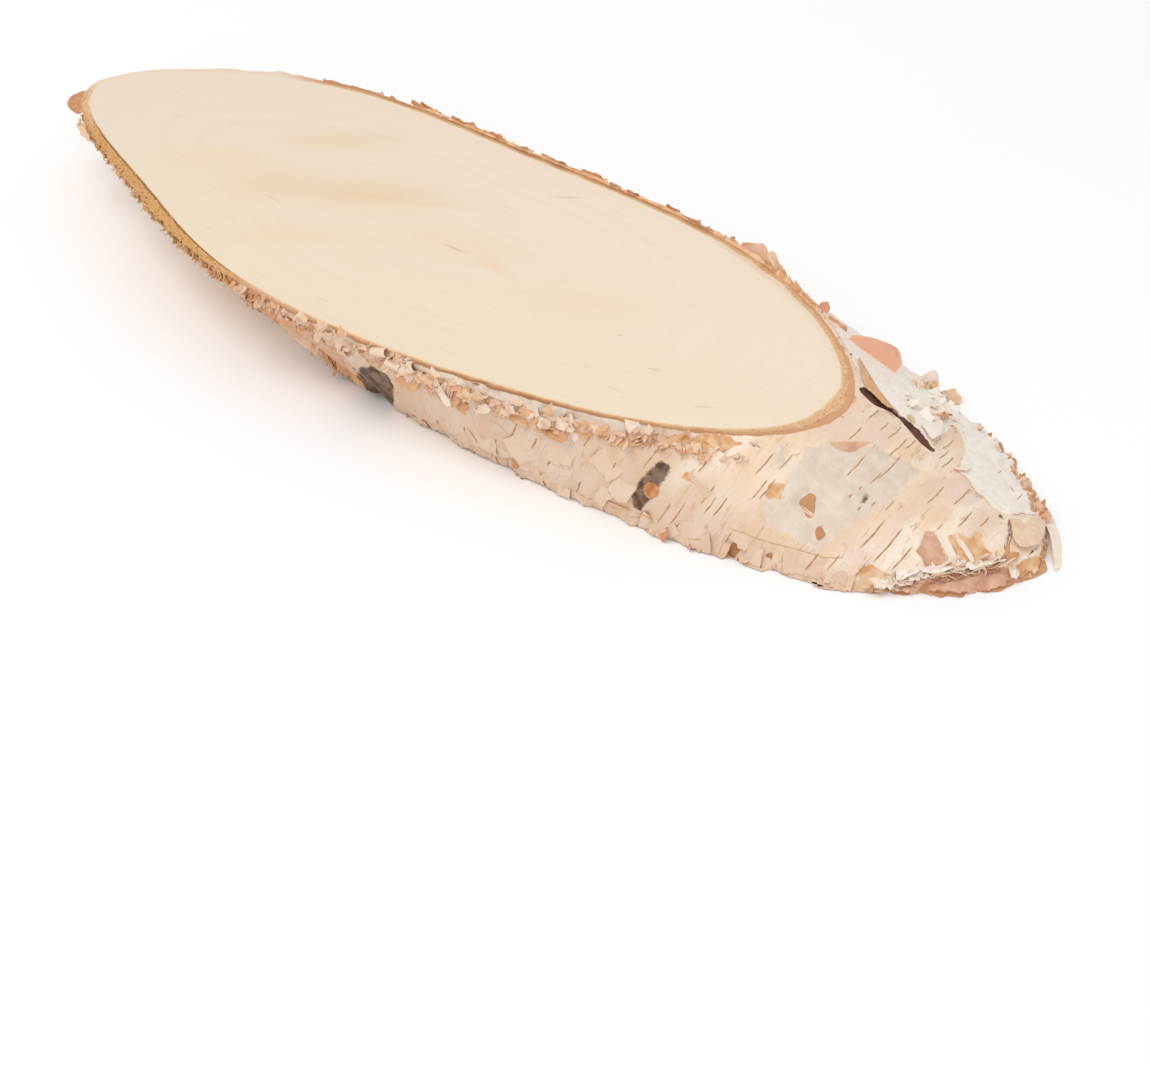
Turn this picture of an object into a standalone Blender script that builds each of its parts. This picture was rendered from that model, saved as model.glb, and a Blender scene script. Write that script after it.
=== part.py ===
"""Birch wood slice: an oval disc sawn aslant through a thin birch log, with its bark on.

Three tissues of the log are its sub-parts, each a closed solid:
wood          the pale sawn body, with two flat oval faces
inner_bark    the thin tan ring of bast round the wood
outer_bark    the papery white bark round that, with its peeling flaps, knots and torn edges

The slice lies flat: +X is its long axis, +Y its width, +Z up, and the origin is the
middle of its bounding box, on the surface that it lies on. Units are metres.
"""

import math
import random
from dataclasses import dataclass

import bmesh
import bpy
from mathutils import Vector, noise

MM = 0.001

# Driving dimensions of the slice
THICKNESS = 20.9 * MM
FACE_HALF_LENGTH = 117.0 * MM
FACE_HALF_WIDTH = 51.4 * MM

# How far the log runs to the side between the top face and the bottom face
LEAN = Vector((48.8 * MM, 9.8 * MM, 0.0))

# Out-of-roundness of the two faces: waves in the turn, size as a share of the radius, crest in degrees
TOP_WAVES = ((2, 0.070, -2.5), (3, 0.028, 43.0), (4, 0.010, 4.0), (5, 0.023, -18.0), (6, 0.011, 11.0))
BOTTOM_WAVES = ((2, 0.072, -5.0), (3, 0.024, 51.0), (4, 0.003, -12.0), (5, 0.022, -19.0), (6, 0.017, 10.0))

# Bark: thicknesses square to the log's surface, and the slit that keeps the tissues apart
OUTER_BARK = 0.75 * MM
INNER_BARK = 0.75 * MM
SLIT = 0.3 * MM
BAST_SWELL = 0.5 * MM
BAST_SWELL_TURN = 3.0
BAST_SWELL_SPREAD = 16.0

# Middle of the bounding box, measured from the middle of the top face
BOX_MIDDLE = Vector((21.8 * MM, 1.9 * MM, 0.0))

# Fineness of the meshes: points round the slice, and rows down the bark
TURNS = 150
BARK_ROWS = 6

# The papery bark's surface: low waves that run round the log, and ragged edges
WAVE_HEIGHT = 0.45 * MM
WAVE_ROUND = 26.0 * MM
WAVE_ALONG = 7.0 * MM
TOP_EDGE_SHARE = 0.012
BOTTOM_EDGE_SHARE = 0.05
EDGE_RAGGED = 0.05

# Torn strip below the top edge, where the papery bark has gone and the bast shows
TORN_TURN = 311.0
TORN_SPREAD = 26.0
TORN_SHARE = 0.10

# Least height of a peel above the surface that the slice lies on
FLOOR_GAP = 0.3 * MM

# Edges shorter than this are slivers that fusing leaves
SLIVER = 0.004 * MM

SEED = 11

BAST_COLOUR = "B5885C"
PAPER_COLOUR = "DDD2C4"
WOOD_COLOUR = "EBDDC2"


@dataclass(frozen=True)
class Bump:
    """A knot or scar: where it is, how far it spreads along and across its own line, how high it stands."""

    turn: float
    share: float
    heading: float
    half_length: float
    half_width: float
    height: float


@dataclass(frozen=True)
class Peel:
    """A strip of bark that has come loose: its root on the log, its size and how it stands and curls.

    heading is 0 up the bark and 90 towards the next turn; lift is the angle it leaves the bark at.
    """

    turn: float
    share: float
    heading: float
    width: float
    length: float
    lift: float
    curl: float
    tip: float = 0.5


BUMPS = (
    # The long knot of a side branch
    Bump(311.5, 0.56, -28.0, 8.0 * MM, 2.2 * MM, 1.1 * MM),
    # The round scar on the near side
    Bump(271.0, 0.55, 10.0, 5.0 * MM, 4.0 * MM, 0.9 * MM),
    # The small knot in the middle of the torn patch
    Bump(346.5, 0.36, 0.0, 3.0 * MM, 2.0 * MM, 0.6 * MM),
    # The swollen flap low on the right end
    Bump(6.0, 0.86, 80.0, 6.0 * MM, 4.0 * MM, 1.0 * MM),
)

PEELS = (
    # Right end, far side
    Peel(36.0, 0.24, 45.0, 12.0 * MM, 8.0 * MM, 35.0, -30.0, 0.8),
    Peel(21.5, 0.15, 60.0, 10.0 * MM, 4.5 * MM, 18.0, 40.0, 0.7),
    Peel(54.0, 0.84, 70.0, 6.0 * MM, 5.0 * MM, 20.0, 40.0),
    Peel(55.5, 0.90, 110.0, 6.0 * MM, 4.5 * MM, 22.0, 30.0),
    Peel(40.5, 0.04, 20.0, 7.0 * MM, 4.0 * MM, 30.0, 90.0, 0.7),
    Peel(49.0, 0.06, 10.0, 10.0 * MM, 7.0 * MM, 15.0, 30.0, 0.2),
    Peel(45.5, 0.08, 15.0, 6.0 * MM, 5.0 * MM, 40.0, 120.0),
    # Right end, near side: the torn patch and the rolled lip below it
    Peel(354.0, 0.10, 190.0, 7.0 * MM, 5.0 * MM, 25.0, 20.0, 0.2),
    Peel(359.0, 0.13, 160.0, 5.0 * MM, 4.5 * MM, 25.0, 30.0, 0.2),
    Peel(333.5, 0.64, 150.0, 7.0 * MM, 4.0 * MM, 20.0, 30.0),
    Peel(327.0, 0.68, 170.0, 7.0 * MM, 4.0 * MM, 20.0, 40.0, 0.2),
    Peel(339.0, 0.84, 185.0, 10.0 * MM, 4.0 * MM, 50.0, -60.0, 0.9),
    Peel(345.5, 0.83, 180.0, 10.0 * MM, 4.5 * MM, 50.0, -60.0, 0.9),
    Peel(351.5, 0.85, 175.0, 9.0 * MM, 4.0 * MM, 50.0, -60.0, 0.8),
    Peel(346.0, 0.72, 200.0, 5.0 * MM, 5.0 * MM, 20.0, 40.0, 0.2),
    Peel(351.0, 0.70, 195.0, 5.0 * MM, 5.0 * MM, 20.0, 40.0, 0.2),
    Peel(356.5, 0.72, 185.0, 5.0 * MM, 5.0 * MM, 20.0, 40.0, 0.2),
    Peel(8.0, 0.80, 175.0, 9.0 * MM, 5.0 * MM, 20.0, -15.0, 0.8),
    Peel(17.0, 0.86, 125.0, 2.5 * MM, 9.0 * MM, 12.0, -8.0, 0.3),
    # Near side: curls and shreds under the top edge
    Peel(286.0, 0.10, 160.0, 5.0 * MM, 4.5 * MM, 40.0, 110.0),
    Peel(290.0, 0.13, 200.0, 5.0 * MM, 5.0 * MM, 35.0, 90.0),
    Peel(293.5, 0.16, 150.0, 4.5 * MM, 5.0 * MM, 40.0, 120.0),
    Peel(297.5, 0.19, 190.0, 6.0 * MM, 4.5 * MM, 30.0, 60.0, 0.3),
    Peel(302.5, 0.18, 170.0, 5.0 * MM, 4.0 * MM, 35.0, 90.0),
    Peel(308.0, 0.20, 185.0, 7.0 * MM, 4.5 * MM, 25.0, 30.0, 0.2),
    Peel(318.0, 0.17, 175.0, 6.0 * MM, 3.5 * MM, 30.0, 80.0),
    Peel(327.0, 0.14, 190.0, 6.0 * MM, 4.0 * MM, 30.0, 60.0, 0.3),
    Peel(333.0, 0.12, 165.0, 6.0 * MM, 4.0 * MM, 30.0, 80.0, 0.3),
    Peel(315.5, 0.74, 120.0, 5.0 * MM, 4.0 * MM, 30.0, 50.0),
    # Near side, left: the shredded layers and their fringe
    Peel(268.5, 0.18, 175.0, 10.0 * MM, 4.0 * MM, 22.0, 30.0, 0.8),
    Peel(271.0, 0.36, 180.0, 9.0 * MM, 4.0 * MM, 25.0, 40.0, 0.7),
    Peel(262.0, 0.55, 175.0, 4.0 * MM, 5.0 * MM, 25.0, 30.0, 0.3),
    Peel(257.0, 0.40, 185.0, 5.0 * MM, 4.0 * MM, 25.0, 60.0),
    # Left end: the curl at the tip and the frayed tuft
    Peel(190.0, 0.05, 330.0, 10.0 * MM, 5.0 * MM, 25.0, 110.0, 0.8),
    Peel(204.0, 0.06, 20.0, 5.0 * MM, 4.0 * MM, 35.0, 70.0),
)


def linear(hex_colour):
    """The linear RGBA colour of an sRGB colour written as six hex digits."""
    parts = (int(hex_colour[i : i + 2], 16) / 255 for i in (0, 2, 4))
    return tuple(c / 12.92 if c <= 0.04045 else ((c + 0.055) / 1.055) ** 2.4 for c in parts) + (1.0,)


def bark_material(name, hex_colour, roughness):
    """A plain Principled BSDF of one colour."""
    material = bpy.data.materials.new(name)
    material.use_nodes = True
    shader = material.node_tree.nodes["Principled BSDF"]
    shader.inputs["Base Color"].default_value = linear(hex_colour)
    shader.inputs["Roughness"].default_value = roughness
    shader.inputs["Metallic"].default_value = 0.0
    material.diffuse_color = linear(hex_colour)
    return material


def face_point(waves, turn):
    """A point of an oval face's outline, flat, measured from that face's middle."""
    angle = math.radians(turn)
    radius = 1.0
    for count, share, crest in waves:
        radius += share * math.cos(count * (angle - math.radians(crest)))
    return Vector((FACE_HALF_LENGTH * radius * math.cos(angle), FACE_HALF_WIDTH * radius * math.sin(angle), 0.0))


def side_point(turn, share):
    """A point of the log's side: share is 0 at the top face and 1 at the bottom face."""
    top = face_point(TOP_WAVES, turn)
    bottom = face_point(BOTTOM_WAVES, turn) + LEAN
    point = top.lerp(bottom, share)
    point.z = THICKNESS * (1.0 - share)
    return point - BOX_MIDDLE


def side_slopes(turn, share):
    """How the side's point moves, for one degree of turn and for one whole share."""
    step = 0.5
    along_turn = side_point(turn + step, share) - side_point(turn - step, share)
    along_share = side_point(turn, share + step) - side_point(turn, share - step)
    return along_turn, along_share


def side_normal(turn, share):
    """The outward direction square to the log's side."""
    along_turn, along_share = side_slopes(turn, share)
    return along_share.cross(along_turn).normalized()


def lean_factor(turn, share):
    """How much longer a slanted layer measures level than square to its surface."""
    return 1.0 / side_normal(turn, share).xy.length


def inset_point(turn, share, depth, slits):
    """A point under the log's side, at the same height, depth square to it and some slits further in."""
    normal = side_normal(turn, share)
    level = normal.xy.to_3d().normalized()
    return side_point(turn, share) - level * (depth * lean_factor(turn, share) + slits * SLIT)


def stepped_point(turn, share, across, up, out):
    """A point reached from the side's point by going level across, up the bark and out from it.

    The steps follow the surface, so that a wide strip keeps to the bend of the log.
    """
    along_turn, along_share = side_slopes(turn, share)
    normal = side_normal(turn, share)
    level = along_turn.normalized()
    upward = normal.cross(level)
    if upward.z < 0.0:
        upward = -upward
    step = level * across + upward * up
    turn_turn, turn_share = along_turn.dot(along_turn), along_turn.dot(along_share)
    share_share = along_share.dot(along_share)
    spread = turn_turn * share_share - turn_share * turn_share
    to_turn, to_share = step.dot(along_turn), step.dot(along_share)
    new_turn = turn + (to_turn * share_share - to_share * turn_share) / spread
    new_share = share + (to_share * turn_turn - to_turn * turn_share) / spread
    return side_point(new_turn, new_share) + side_normal(new_turn, new_share) * out


def bell(value, middle, spread):
    """A smooth hill round an angle, 1 at its middle."""
    away = (value - middle + 180.0) % 360.0 - 180.0
    return math.exp(-((away / spread) ** 2))


def bump_height(bump, turn, share):
    """How high a knot stands at a point of the side."""
    centre = side_point(bump.turn, bump.share)
    normal = side_normal(bump.turn, bump.share)
    level = side_slopes(bump.turn, bump.share)[0].normalized()
    upward = normal.cross(level)
    if upward.z < 0.0:
        upward = -upward
    angle = math.radians(bump.heading)
    line = upward * math.cos(angle) + level * math.sin(angle)
    away = side_point(turn, share) - centre
    along = away.dot(line) / bump.half_length
    across = (away - line * away.dot(line)).length / bump.half_width
    return bump.height * math.exp(-along * along - across * across)


def bark_height(turn, share):
    """How far the papery bark's surface stands out from the log's even side."""
    point = side_point(turn, share)
    grain = (LEAN - Vector((0.0, 0.0, THICKNESS))).normalized()
    along = point.dot(grain)
    around = point - grain * along
    wave = noise.noise(around / WAVE_ROUND + grain * (along / WAVE_ALONG))
    return WAVE_HEIGHT * wave + sum(bump_height(bump, turn, share) for bump in BUMPS)


def torn(turn, part):
    """A ragged number from 0 to 1 for an edge, the same each time for a turn."""
    angle = math.radians(turn)
    place = Vector((math.cos(angle), math.sin(angle), part))
    return 0.5 + 0.5 * max(-1.0, min(1.0, 1.6 * noise.noise(place * 9.0) + 0.8 * noise.noise(place * 23.0)))


def edge_shares(turn):
    """Where the papery bark's top and bottom edges lie, as shares of the side."""
    top = TOP_EDGE_SHARE + EDGE_RAGGED * 0.6 * torn(turn, 0.0) ** 2
    top += TORN_SHARE * bell(turn, TORN_TURN, TORN_SPREAD) * (0.5 + torn(turn, 3.0))
    bottom = 1.0 - BOTTOM_EDGE_SHARE * torn(turn, 6.0) - 0.004
    return top, bottom


def mesh_object(name, points, faces):
    """A new object in the scene from points and faces."""
    mesh = bpy.data.meshes.new(name)
    mesh.from_pydata(points, [], faces)
    mesh.validate()
    mesh.update()
    thing = bpy.data.objects.new(name, mesh)
    bpy.context.scene.collection.objects.link(thing)
    return thing


def banded(loops, closed):
    """Faces between rings of equally many points, the last ring joined to the first where closed."""
    count = len(loops[0])
    last = len(loops) if closed else len(loops) - 1
    faces = []
    for row in range(last):
        upper = row * count
        lower = (row + 1) % len(loops) * count
        for i in range(count):
            after = (i + 1) % count
            faces.append((upper + i, lower + i, lower + after, upper + after))
    return faces


def turns():
    """The turns of the points round the slice, in degrees."""
    return [360.0 * i / TURNS for i in range(TURNS)]


def bast_depth(turn):
    """Where the inner bark's inner side lies, square to the log's side."""
    return OUTER_BARK + INNER_BARK + BAST_SWELL * bell(turn, BAST_SWELL_TURN, BAST_SWELL_SPREAD)


def build_wood():
    """The sawn body: two flat ovals and the slanted wall between them."""
    loops = [[inset_point(t, share, bast_depth(t), 2) for t in turns()] for share in (0.0, 1.0)]
    points = [p for loop in loops for p in loop]
    faces = banded(loops, False)
    faces.append(tuple(range(TURNS)))
    faces.append(tuple(reversed(range(TURNS, 2 * TURNS))))
    return mesh_object("wood", points, faces)


def build_inner_bark():
    """The ring of bast, sawn flush with the wood."""
    outer = [[inset_point(t, share, OUTER_BARK, 1) for t in turns()] for share in (0.0, 1.0)]
    inner = [[inset_point(t, share, bast_depth(t), 1) for t in turns()] for share in (1.0, 0.0)]
    loops = outer + inner
    return mesh_object("inner_bark", [p for loop in loops for p in loop], banded(loops, True))


def build_bark_ring():
    """The papery bark without its peels."""
    edges = [edge_shares(t) for t in turns()]
    loops = []
    for row in range(BARK_ROWS + 1):
        loop = []
        for turn, (top, bottom) in zip(turns(), edges):
            share = top + (bottom - top) * row / BARK_ROWS
            loop.append(side_point(turn, share) + side_normal(turn, share) * bark_height(turn, share))
        loops.append(loop)
    for side in (1, 0):
        loops.append([inset_point(t, edge[side], OUTER_BARK, 0) for t, edge in zip(turns(), edges)])
    for loop in loops:
        for point in loop:
            point.z = min(max(point.z, 0.0), THICKNESS)
    return mesh_object("outer_bark", [p for loop in loops for p in loop], banded(loops, True))


def build_peel(peel, number):
    """One loose strip, rooted in the bark, narrowing to its tip and curling as it goes."""
    steps = 4
    thick = 0.65 * MM
    root = 1.6 * MM
    angle = math.radians(peel.heading)
    ahead = Vector((math.sin(angle), math.cos(angle)))
    beside = Vector((math.cos(angle), -math.sin(angle)))
    middle_along, middle_out = -root, -0.1 * MM
    points = []
    for i in range(steps + 1):
        ratio = i / steps
        rise = math.radians(peel.lift + peel.curl * ratio)
        half = 0.5 * peel.width * (1.0 + (peel.tip - 1.0) * ratio**1.5)
        station = []
        for side, face in ((-1, -1), (1, -1), (1, 1), (-1, 1)):
            along = middle_along - face * 0.5 * thick * math.sin(rise)
            out = middle_out + face * 0.5 * thick * math.cos(rise)
            across, up = ahead * along + beside * (side * half)
            station.append(stepped_point(peel.turn, peel.share, across, up, out))
        lowest = min(point.z for point in station)
        raised = Vector((0.0, 0.0, max(0.0, FLOOR_GAP - lowest)))
        points += [point + raised for point in station]
        middle_along += (peel.length + root) / steps * math.cos(rise)
        middle_out += (peel.length + root) / steps * math.sin(rise)
    loops = [points[4 * i : 4 * i + 4] for i in range(steps + 1)]
    faces = banded(loops, False)
    faces.append((0, 1, 2, 3))
    faces.append(tuple(reversed(range(4 * steps, 4 * steps + 4))))
    return mesh_object(f"peel_{number:02d}", points, faces)


def small_shreds():
    """Short shreds all along both edges of the bark, as sawing and drying leave them."""
    draw = random.Random(SEED)
    shreds = []
    for share, heading, count in ((0.06, 0.0, 26), (0.80, 180.0, 20)):
        for i in range(count):
            turn = 360.0 * (i + draw.uniform(0.2, 0.8)) / count
            shreds.append(
                Peel(
                    turn,
                    share + draw.uniform(-0.02, 0.05),
                    heading + draw.uniform(-60.0, 60.0),
                    draw.uniform(4.0, 10.0) * MM,
                    draw.uniform(2.0, 4.0) * MM,
                    draw.uniform(14.0, 24.0),
                    draw.uniform(-10.0, 30.0),
                    draw.uniform(0.1, 0.6),
                )
            )
    return shreds


def build_crack():
    """The cutter for the open crack that runs along the grain at the right end."""
    start, end = (15.5, 0.04), (13.5, 0.38)
    half_width = 0.6 * MM
    steps = 4
    points = []
    for i in range(steps + 1):
        ratio = i / steps
        turn = start[0] + (end[0] - start[0]) * ratio + 0.8 * math.sin(2.0 * math.pi * ratio)
        share = start[1] + (end[1] - start[1]) * ratio
        half = half_width * (0.35 + 0.65 * math.sin(math.pi * ratio))
        for across, out in ((-half, -1.5 * MM), (half, -1.5 * MM), (half, 2.0 * MM), (-half, 2.0 * MM)):
            points.append(stepped_point(turn, share, across, 0.0, out))
    loops = [points[4 * i : 4 * i + 4] for i in range(steps + 1)]
    faces = banded(loops, False)
    faces.append((0, 1, 2, 3))
    faces.append(tuple(reversed(range(4 * steps, 4 * steps + 4))))
    crack = mesh_object("crack_cutter", points, faces)
    crack.hide_render = True
    crack.display_type = "WIRE"
    return crack


def facing_out(thing):
    """Turn a closed object's faces outward."""
    mesh = thing.data
    volume = 0.0
    for face in mesh.polygons:
        corners = [mesh.vertices[i].co for i in face.vertices]
        for second, third in zip(corners[1:], corners[2:]):
            volume += corners[0].dot(second.cross(third))
    if volume < 0.0:
        mesh.flip_normals()


def apply_modifiers(thing):
    """Swap an object's mesh for its evaluated one and drop its modifiers."""
    graph = bpy.context.evaluated_depsgraph_get()
    mesh = bpy.data.meshes.new_from_object(thing.evaluated_get(graph))
    thing.modifiers.clear()
    thing.data = mesh


def keep_main_body(thing):
    """Fill the small hollows that fusing sealed, and drop any loose scrap: both are islands of the mesh."""
    mesh = bmesh.new()
    mesh.from_mesh(thing.data)
    bmesh.ops.dissolve_degenerate(mesh, dist=SLIVER, edges=mesh.edges)
    bmesh.ops.triangulate(mesh, faces=mesh.faces)
    left = set(mesh.faces)
    islands = []
    while left:
        island = set()
        waiting = [left.pop()]
        while waiting:
            face = waiting.pop()
            island.add(face)
            for edge in face.edges:
                if len(edge.link_faces) != 2:
                    continue
                for beside in edge.link_faces:
                    if beside in left:
                        left.remove(beside)
                        waiting.append(beside)
        islands.append(island)
    islands.sort(key=len)
    for island in islands[:-1]:
        bmesh.ops.delete(mesh, geom=list(island), context="FACES")
    mesh.to_mesh(thing.data)
    mesh.free()


def join_peels(bark, peels):
    """One Boolean union of the bark and all its peels, and the crack cut through it."""
    folder = bpy.data.collections.new("peels")
    bpy.context.scene.collection.children.link(folder)
    for peel in peels:
        bpy.context.scene.collection.objects.unlink(peel)
        folder.objects.link(peel)
    union = bark.modifiers.new("peels", "BOOLEAN")
    union.operation = "UNION"
    union.operand_type = "COLLECTION"
    union.collection = folder
    union.use_self = True
    crack = build_crack()
    facing_out(crack)
    cut = bark.modifiers.new("crack", "BOOLEAN")
    cut.operation = "DIFFERENCE"
    cut.object = crack
    apply_modifiers(bark)
    keep_main_body(bark)
    for piece in [*peels, crack]:
        bpy.data.objects.remove(piece)
    bpy.data.collections.remove(folder)


def finish(thing, material, sharp_angle):
    """Give an object its material and shading."""
    thing.data.materials.clear()
    thing.data.materials.append(material)
    thing.data.shade_smooth()
    thing.data.set_sharp_from_angle(angle=math.radians(sharp_angle))


def main():
    """Empty the scene and build the slice."""
    for thing in list(bpy.data.objects):
        bpy.data.objects.remove(thing)
    wood = build_wood()
    bast = build_inner_bark()
    bark = build_bark_ring()
    peels = [build_peel(peel, i) for i, peel in enumerate([*PEELS, *small_shreds()])]
    for thing in (wood, bast, bark, *peels):
        facing_out(thing)
    join_peels(bark, peels)
    finish(wood, bark_material("birch wood", WOOD_COLOUR, 0.65), 30.0)
    finish(bast, bark_material("birch bast", BAST_COLOUR, 0.85), 30.0)
    finish(bark, bark_material("birch papery bark", PAPER_COLOUR, 0.75), 45.0)


main()
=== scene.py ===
"""Dresses the birch wood slice: sawn wood with growth rings, a bast ring, and papery bark with its peels.

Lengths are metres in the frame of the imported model: +X along the slice, +Y across it, +Z up.
A place on the bark is a turn (degrees round the slice) and a share (0 at the top face, 1 at the bottom).
"""

import itertools
import logging
import math
from dataclasses import dataclass, field
from enum import Enum
from functools import cached_property

import bpy
import numpy as np
from mathutils import Matrix, Vector


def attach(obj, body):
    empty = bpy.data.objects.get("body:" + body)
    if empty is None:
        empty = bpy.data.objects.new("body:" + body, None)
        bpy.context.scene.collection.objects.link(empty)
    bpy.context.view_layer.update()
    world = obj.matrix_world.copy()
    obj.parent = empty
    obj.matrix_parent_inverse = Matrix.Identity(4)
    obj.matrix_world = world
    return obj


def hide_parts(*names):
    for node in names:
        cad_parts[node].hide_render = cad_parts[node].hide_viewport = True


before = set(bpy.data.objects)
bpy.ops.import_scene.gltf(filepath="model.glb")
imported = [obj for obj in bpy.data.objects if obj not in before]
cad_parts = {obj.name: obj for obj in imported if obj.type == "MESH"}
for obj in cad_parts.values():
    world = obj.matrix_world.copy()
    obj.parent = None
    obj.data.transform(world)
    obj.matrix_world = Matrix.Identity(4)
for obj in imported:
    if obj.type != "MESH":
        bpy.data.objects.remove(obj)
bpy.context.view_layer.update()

LOG = logging.getLogger("birch_slice")
MM = 0.001
BODY = "root"

Array = np.ndarray
Place = tuple[float, float]


def linear(hex_colour: str) -> tuple[float, float, float, float]:
    """Turns an sRGB colour written as six hex digits into linear RGBA.

    Args:
        hex_colour: six hex digits, such as "EFDBC0".

    Returns:
        Linear red, green, blue and an alpha of 1.
    """
    channels = [int(hex_colour[i : i + 2], 16) / 255 for i in (0, 2, 4)]
    red, green, blue = (c / 12.92 if c <= 0.04045 else ((c + 0.055) / 1.055) ** 2.4 for c in channels)
    return red, green, blue, 1.0


def add(tree: bpy.types.NodeTree, kind: str, values: dict | None = None, **settings) -> bpy.types.Node:
    """Adds one node to a tree.

    Args:
        tree: the shader or geometry node tree.
        kind: the node's type name.
        values: what goes into its sockets, by name or number: a value, or another node's output to link.
        settings: the node's own attributes.

    Returns:
        The new node.
    """
    node = tree.nodes.new(kind)
    for name, value in settings.items():
        setattr(node, name, value)
    for key, value in (values or {}).items():
        socket = node.inputs[key]
        if isinstance(value, bpy.types.NodeSocket):
            tree.links.new(value, socket)
        else:
            socket.default_value = value
    return node


def smooth_step(value: Array, low: float, high: float) -> Array:
    """A smooth rise from 0 at low to 1 at high."""
    part = np.clip((value - low) / (high - low), 0.0, 1.0)
    return part * part * (3.0 - 2.0 * part)


def turn_between(turn: Array, middle: float) -> Array:
    """How far turns lie from a middle one, from -180 to 180 degrees."""
    return (turn - middle + 180.0) % 360.0 - 180.0


def bell(turn: Array, middle: float, spread: float) -> Array:
    """A smooth hill round a turn, 1 at its middle."""
    return np.exp(-((turn_between(turn, middle) / spread) ** 2))


@dataclass(frozen=True)
class Noise:
    """Smooth random numbers in space, the same each run for one seed."""

    seed: int = 0

    def _corner(self, cell: Array) -> Array:
        """The random number from -1 to 1 at each whole-number corner."""
        mixed = cell[..., 0] * 374761393 + cell[..., 1] * 668265263 + cell[..., 2] * 1440662683
        mixed = (mixed + self.seed * 974634777) & 0xFFFFFFFF
        mixed = ((mixed ^ (mixed >> 13)) * 1274126177) & 0xFFFFFFFF
        return ((mixed ^ (mixed >> 16)) & 0xFFFF) / 32767.5 - 1.0

    def at(self, place: Array) -> Array:
        """Reads the noise.

        Args:
            place: points, with x, y and z in the last axis, one unit per wave.

        Returns:
            A number from -1 to 1 for each point.
        """
        cell = np.floor(place).astype(np.int64)
        part = place - cell
        part = part * part * (3.0 - 2.0 * part)
        total = np.zeros(place.shape[:-1])
        for corner in itertools.product((0, 1), repeat=3):
            weight = np.prod(np.where(np.array(corner) == 1, part, 1.0 - part), axis=-1)
            total += weight * self._corner(cell + np.array(corner))
        return total

    def layered(self, place: Array, octaves: int = 3) -> Array:
        """The noise with finer, weaker noise on top of it."""
        total = np.zeros(place.shape[:-1])
        for octave in range(octaves):
            total += self.at(place * 2.0**octave + 17.3 * octave) / 2.0**octave
        return total / (2.0 - 0.5 ** (octaves - 1))

    def along(self, value: Array, waves: float, octaves: int = 3, row: float = 0.5) -> Array:
        """The noise on a line, with some waves for each unit of value."""
        value = np.asarray(value, float) * waves
        return self.layered(np.stack([value, value * 0.0 + row, value * 0.0 + 0.5], -1), octaves)


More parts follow.
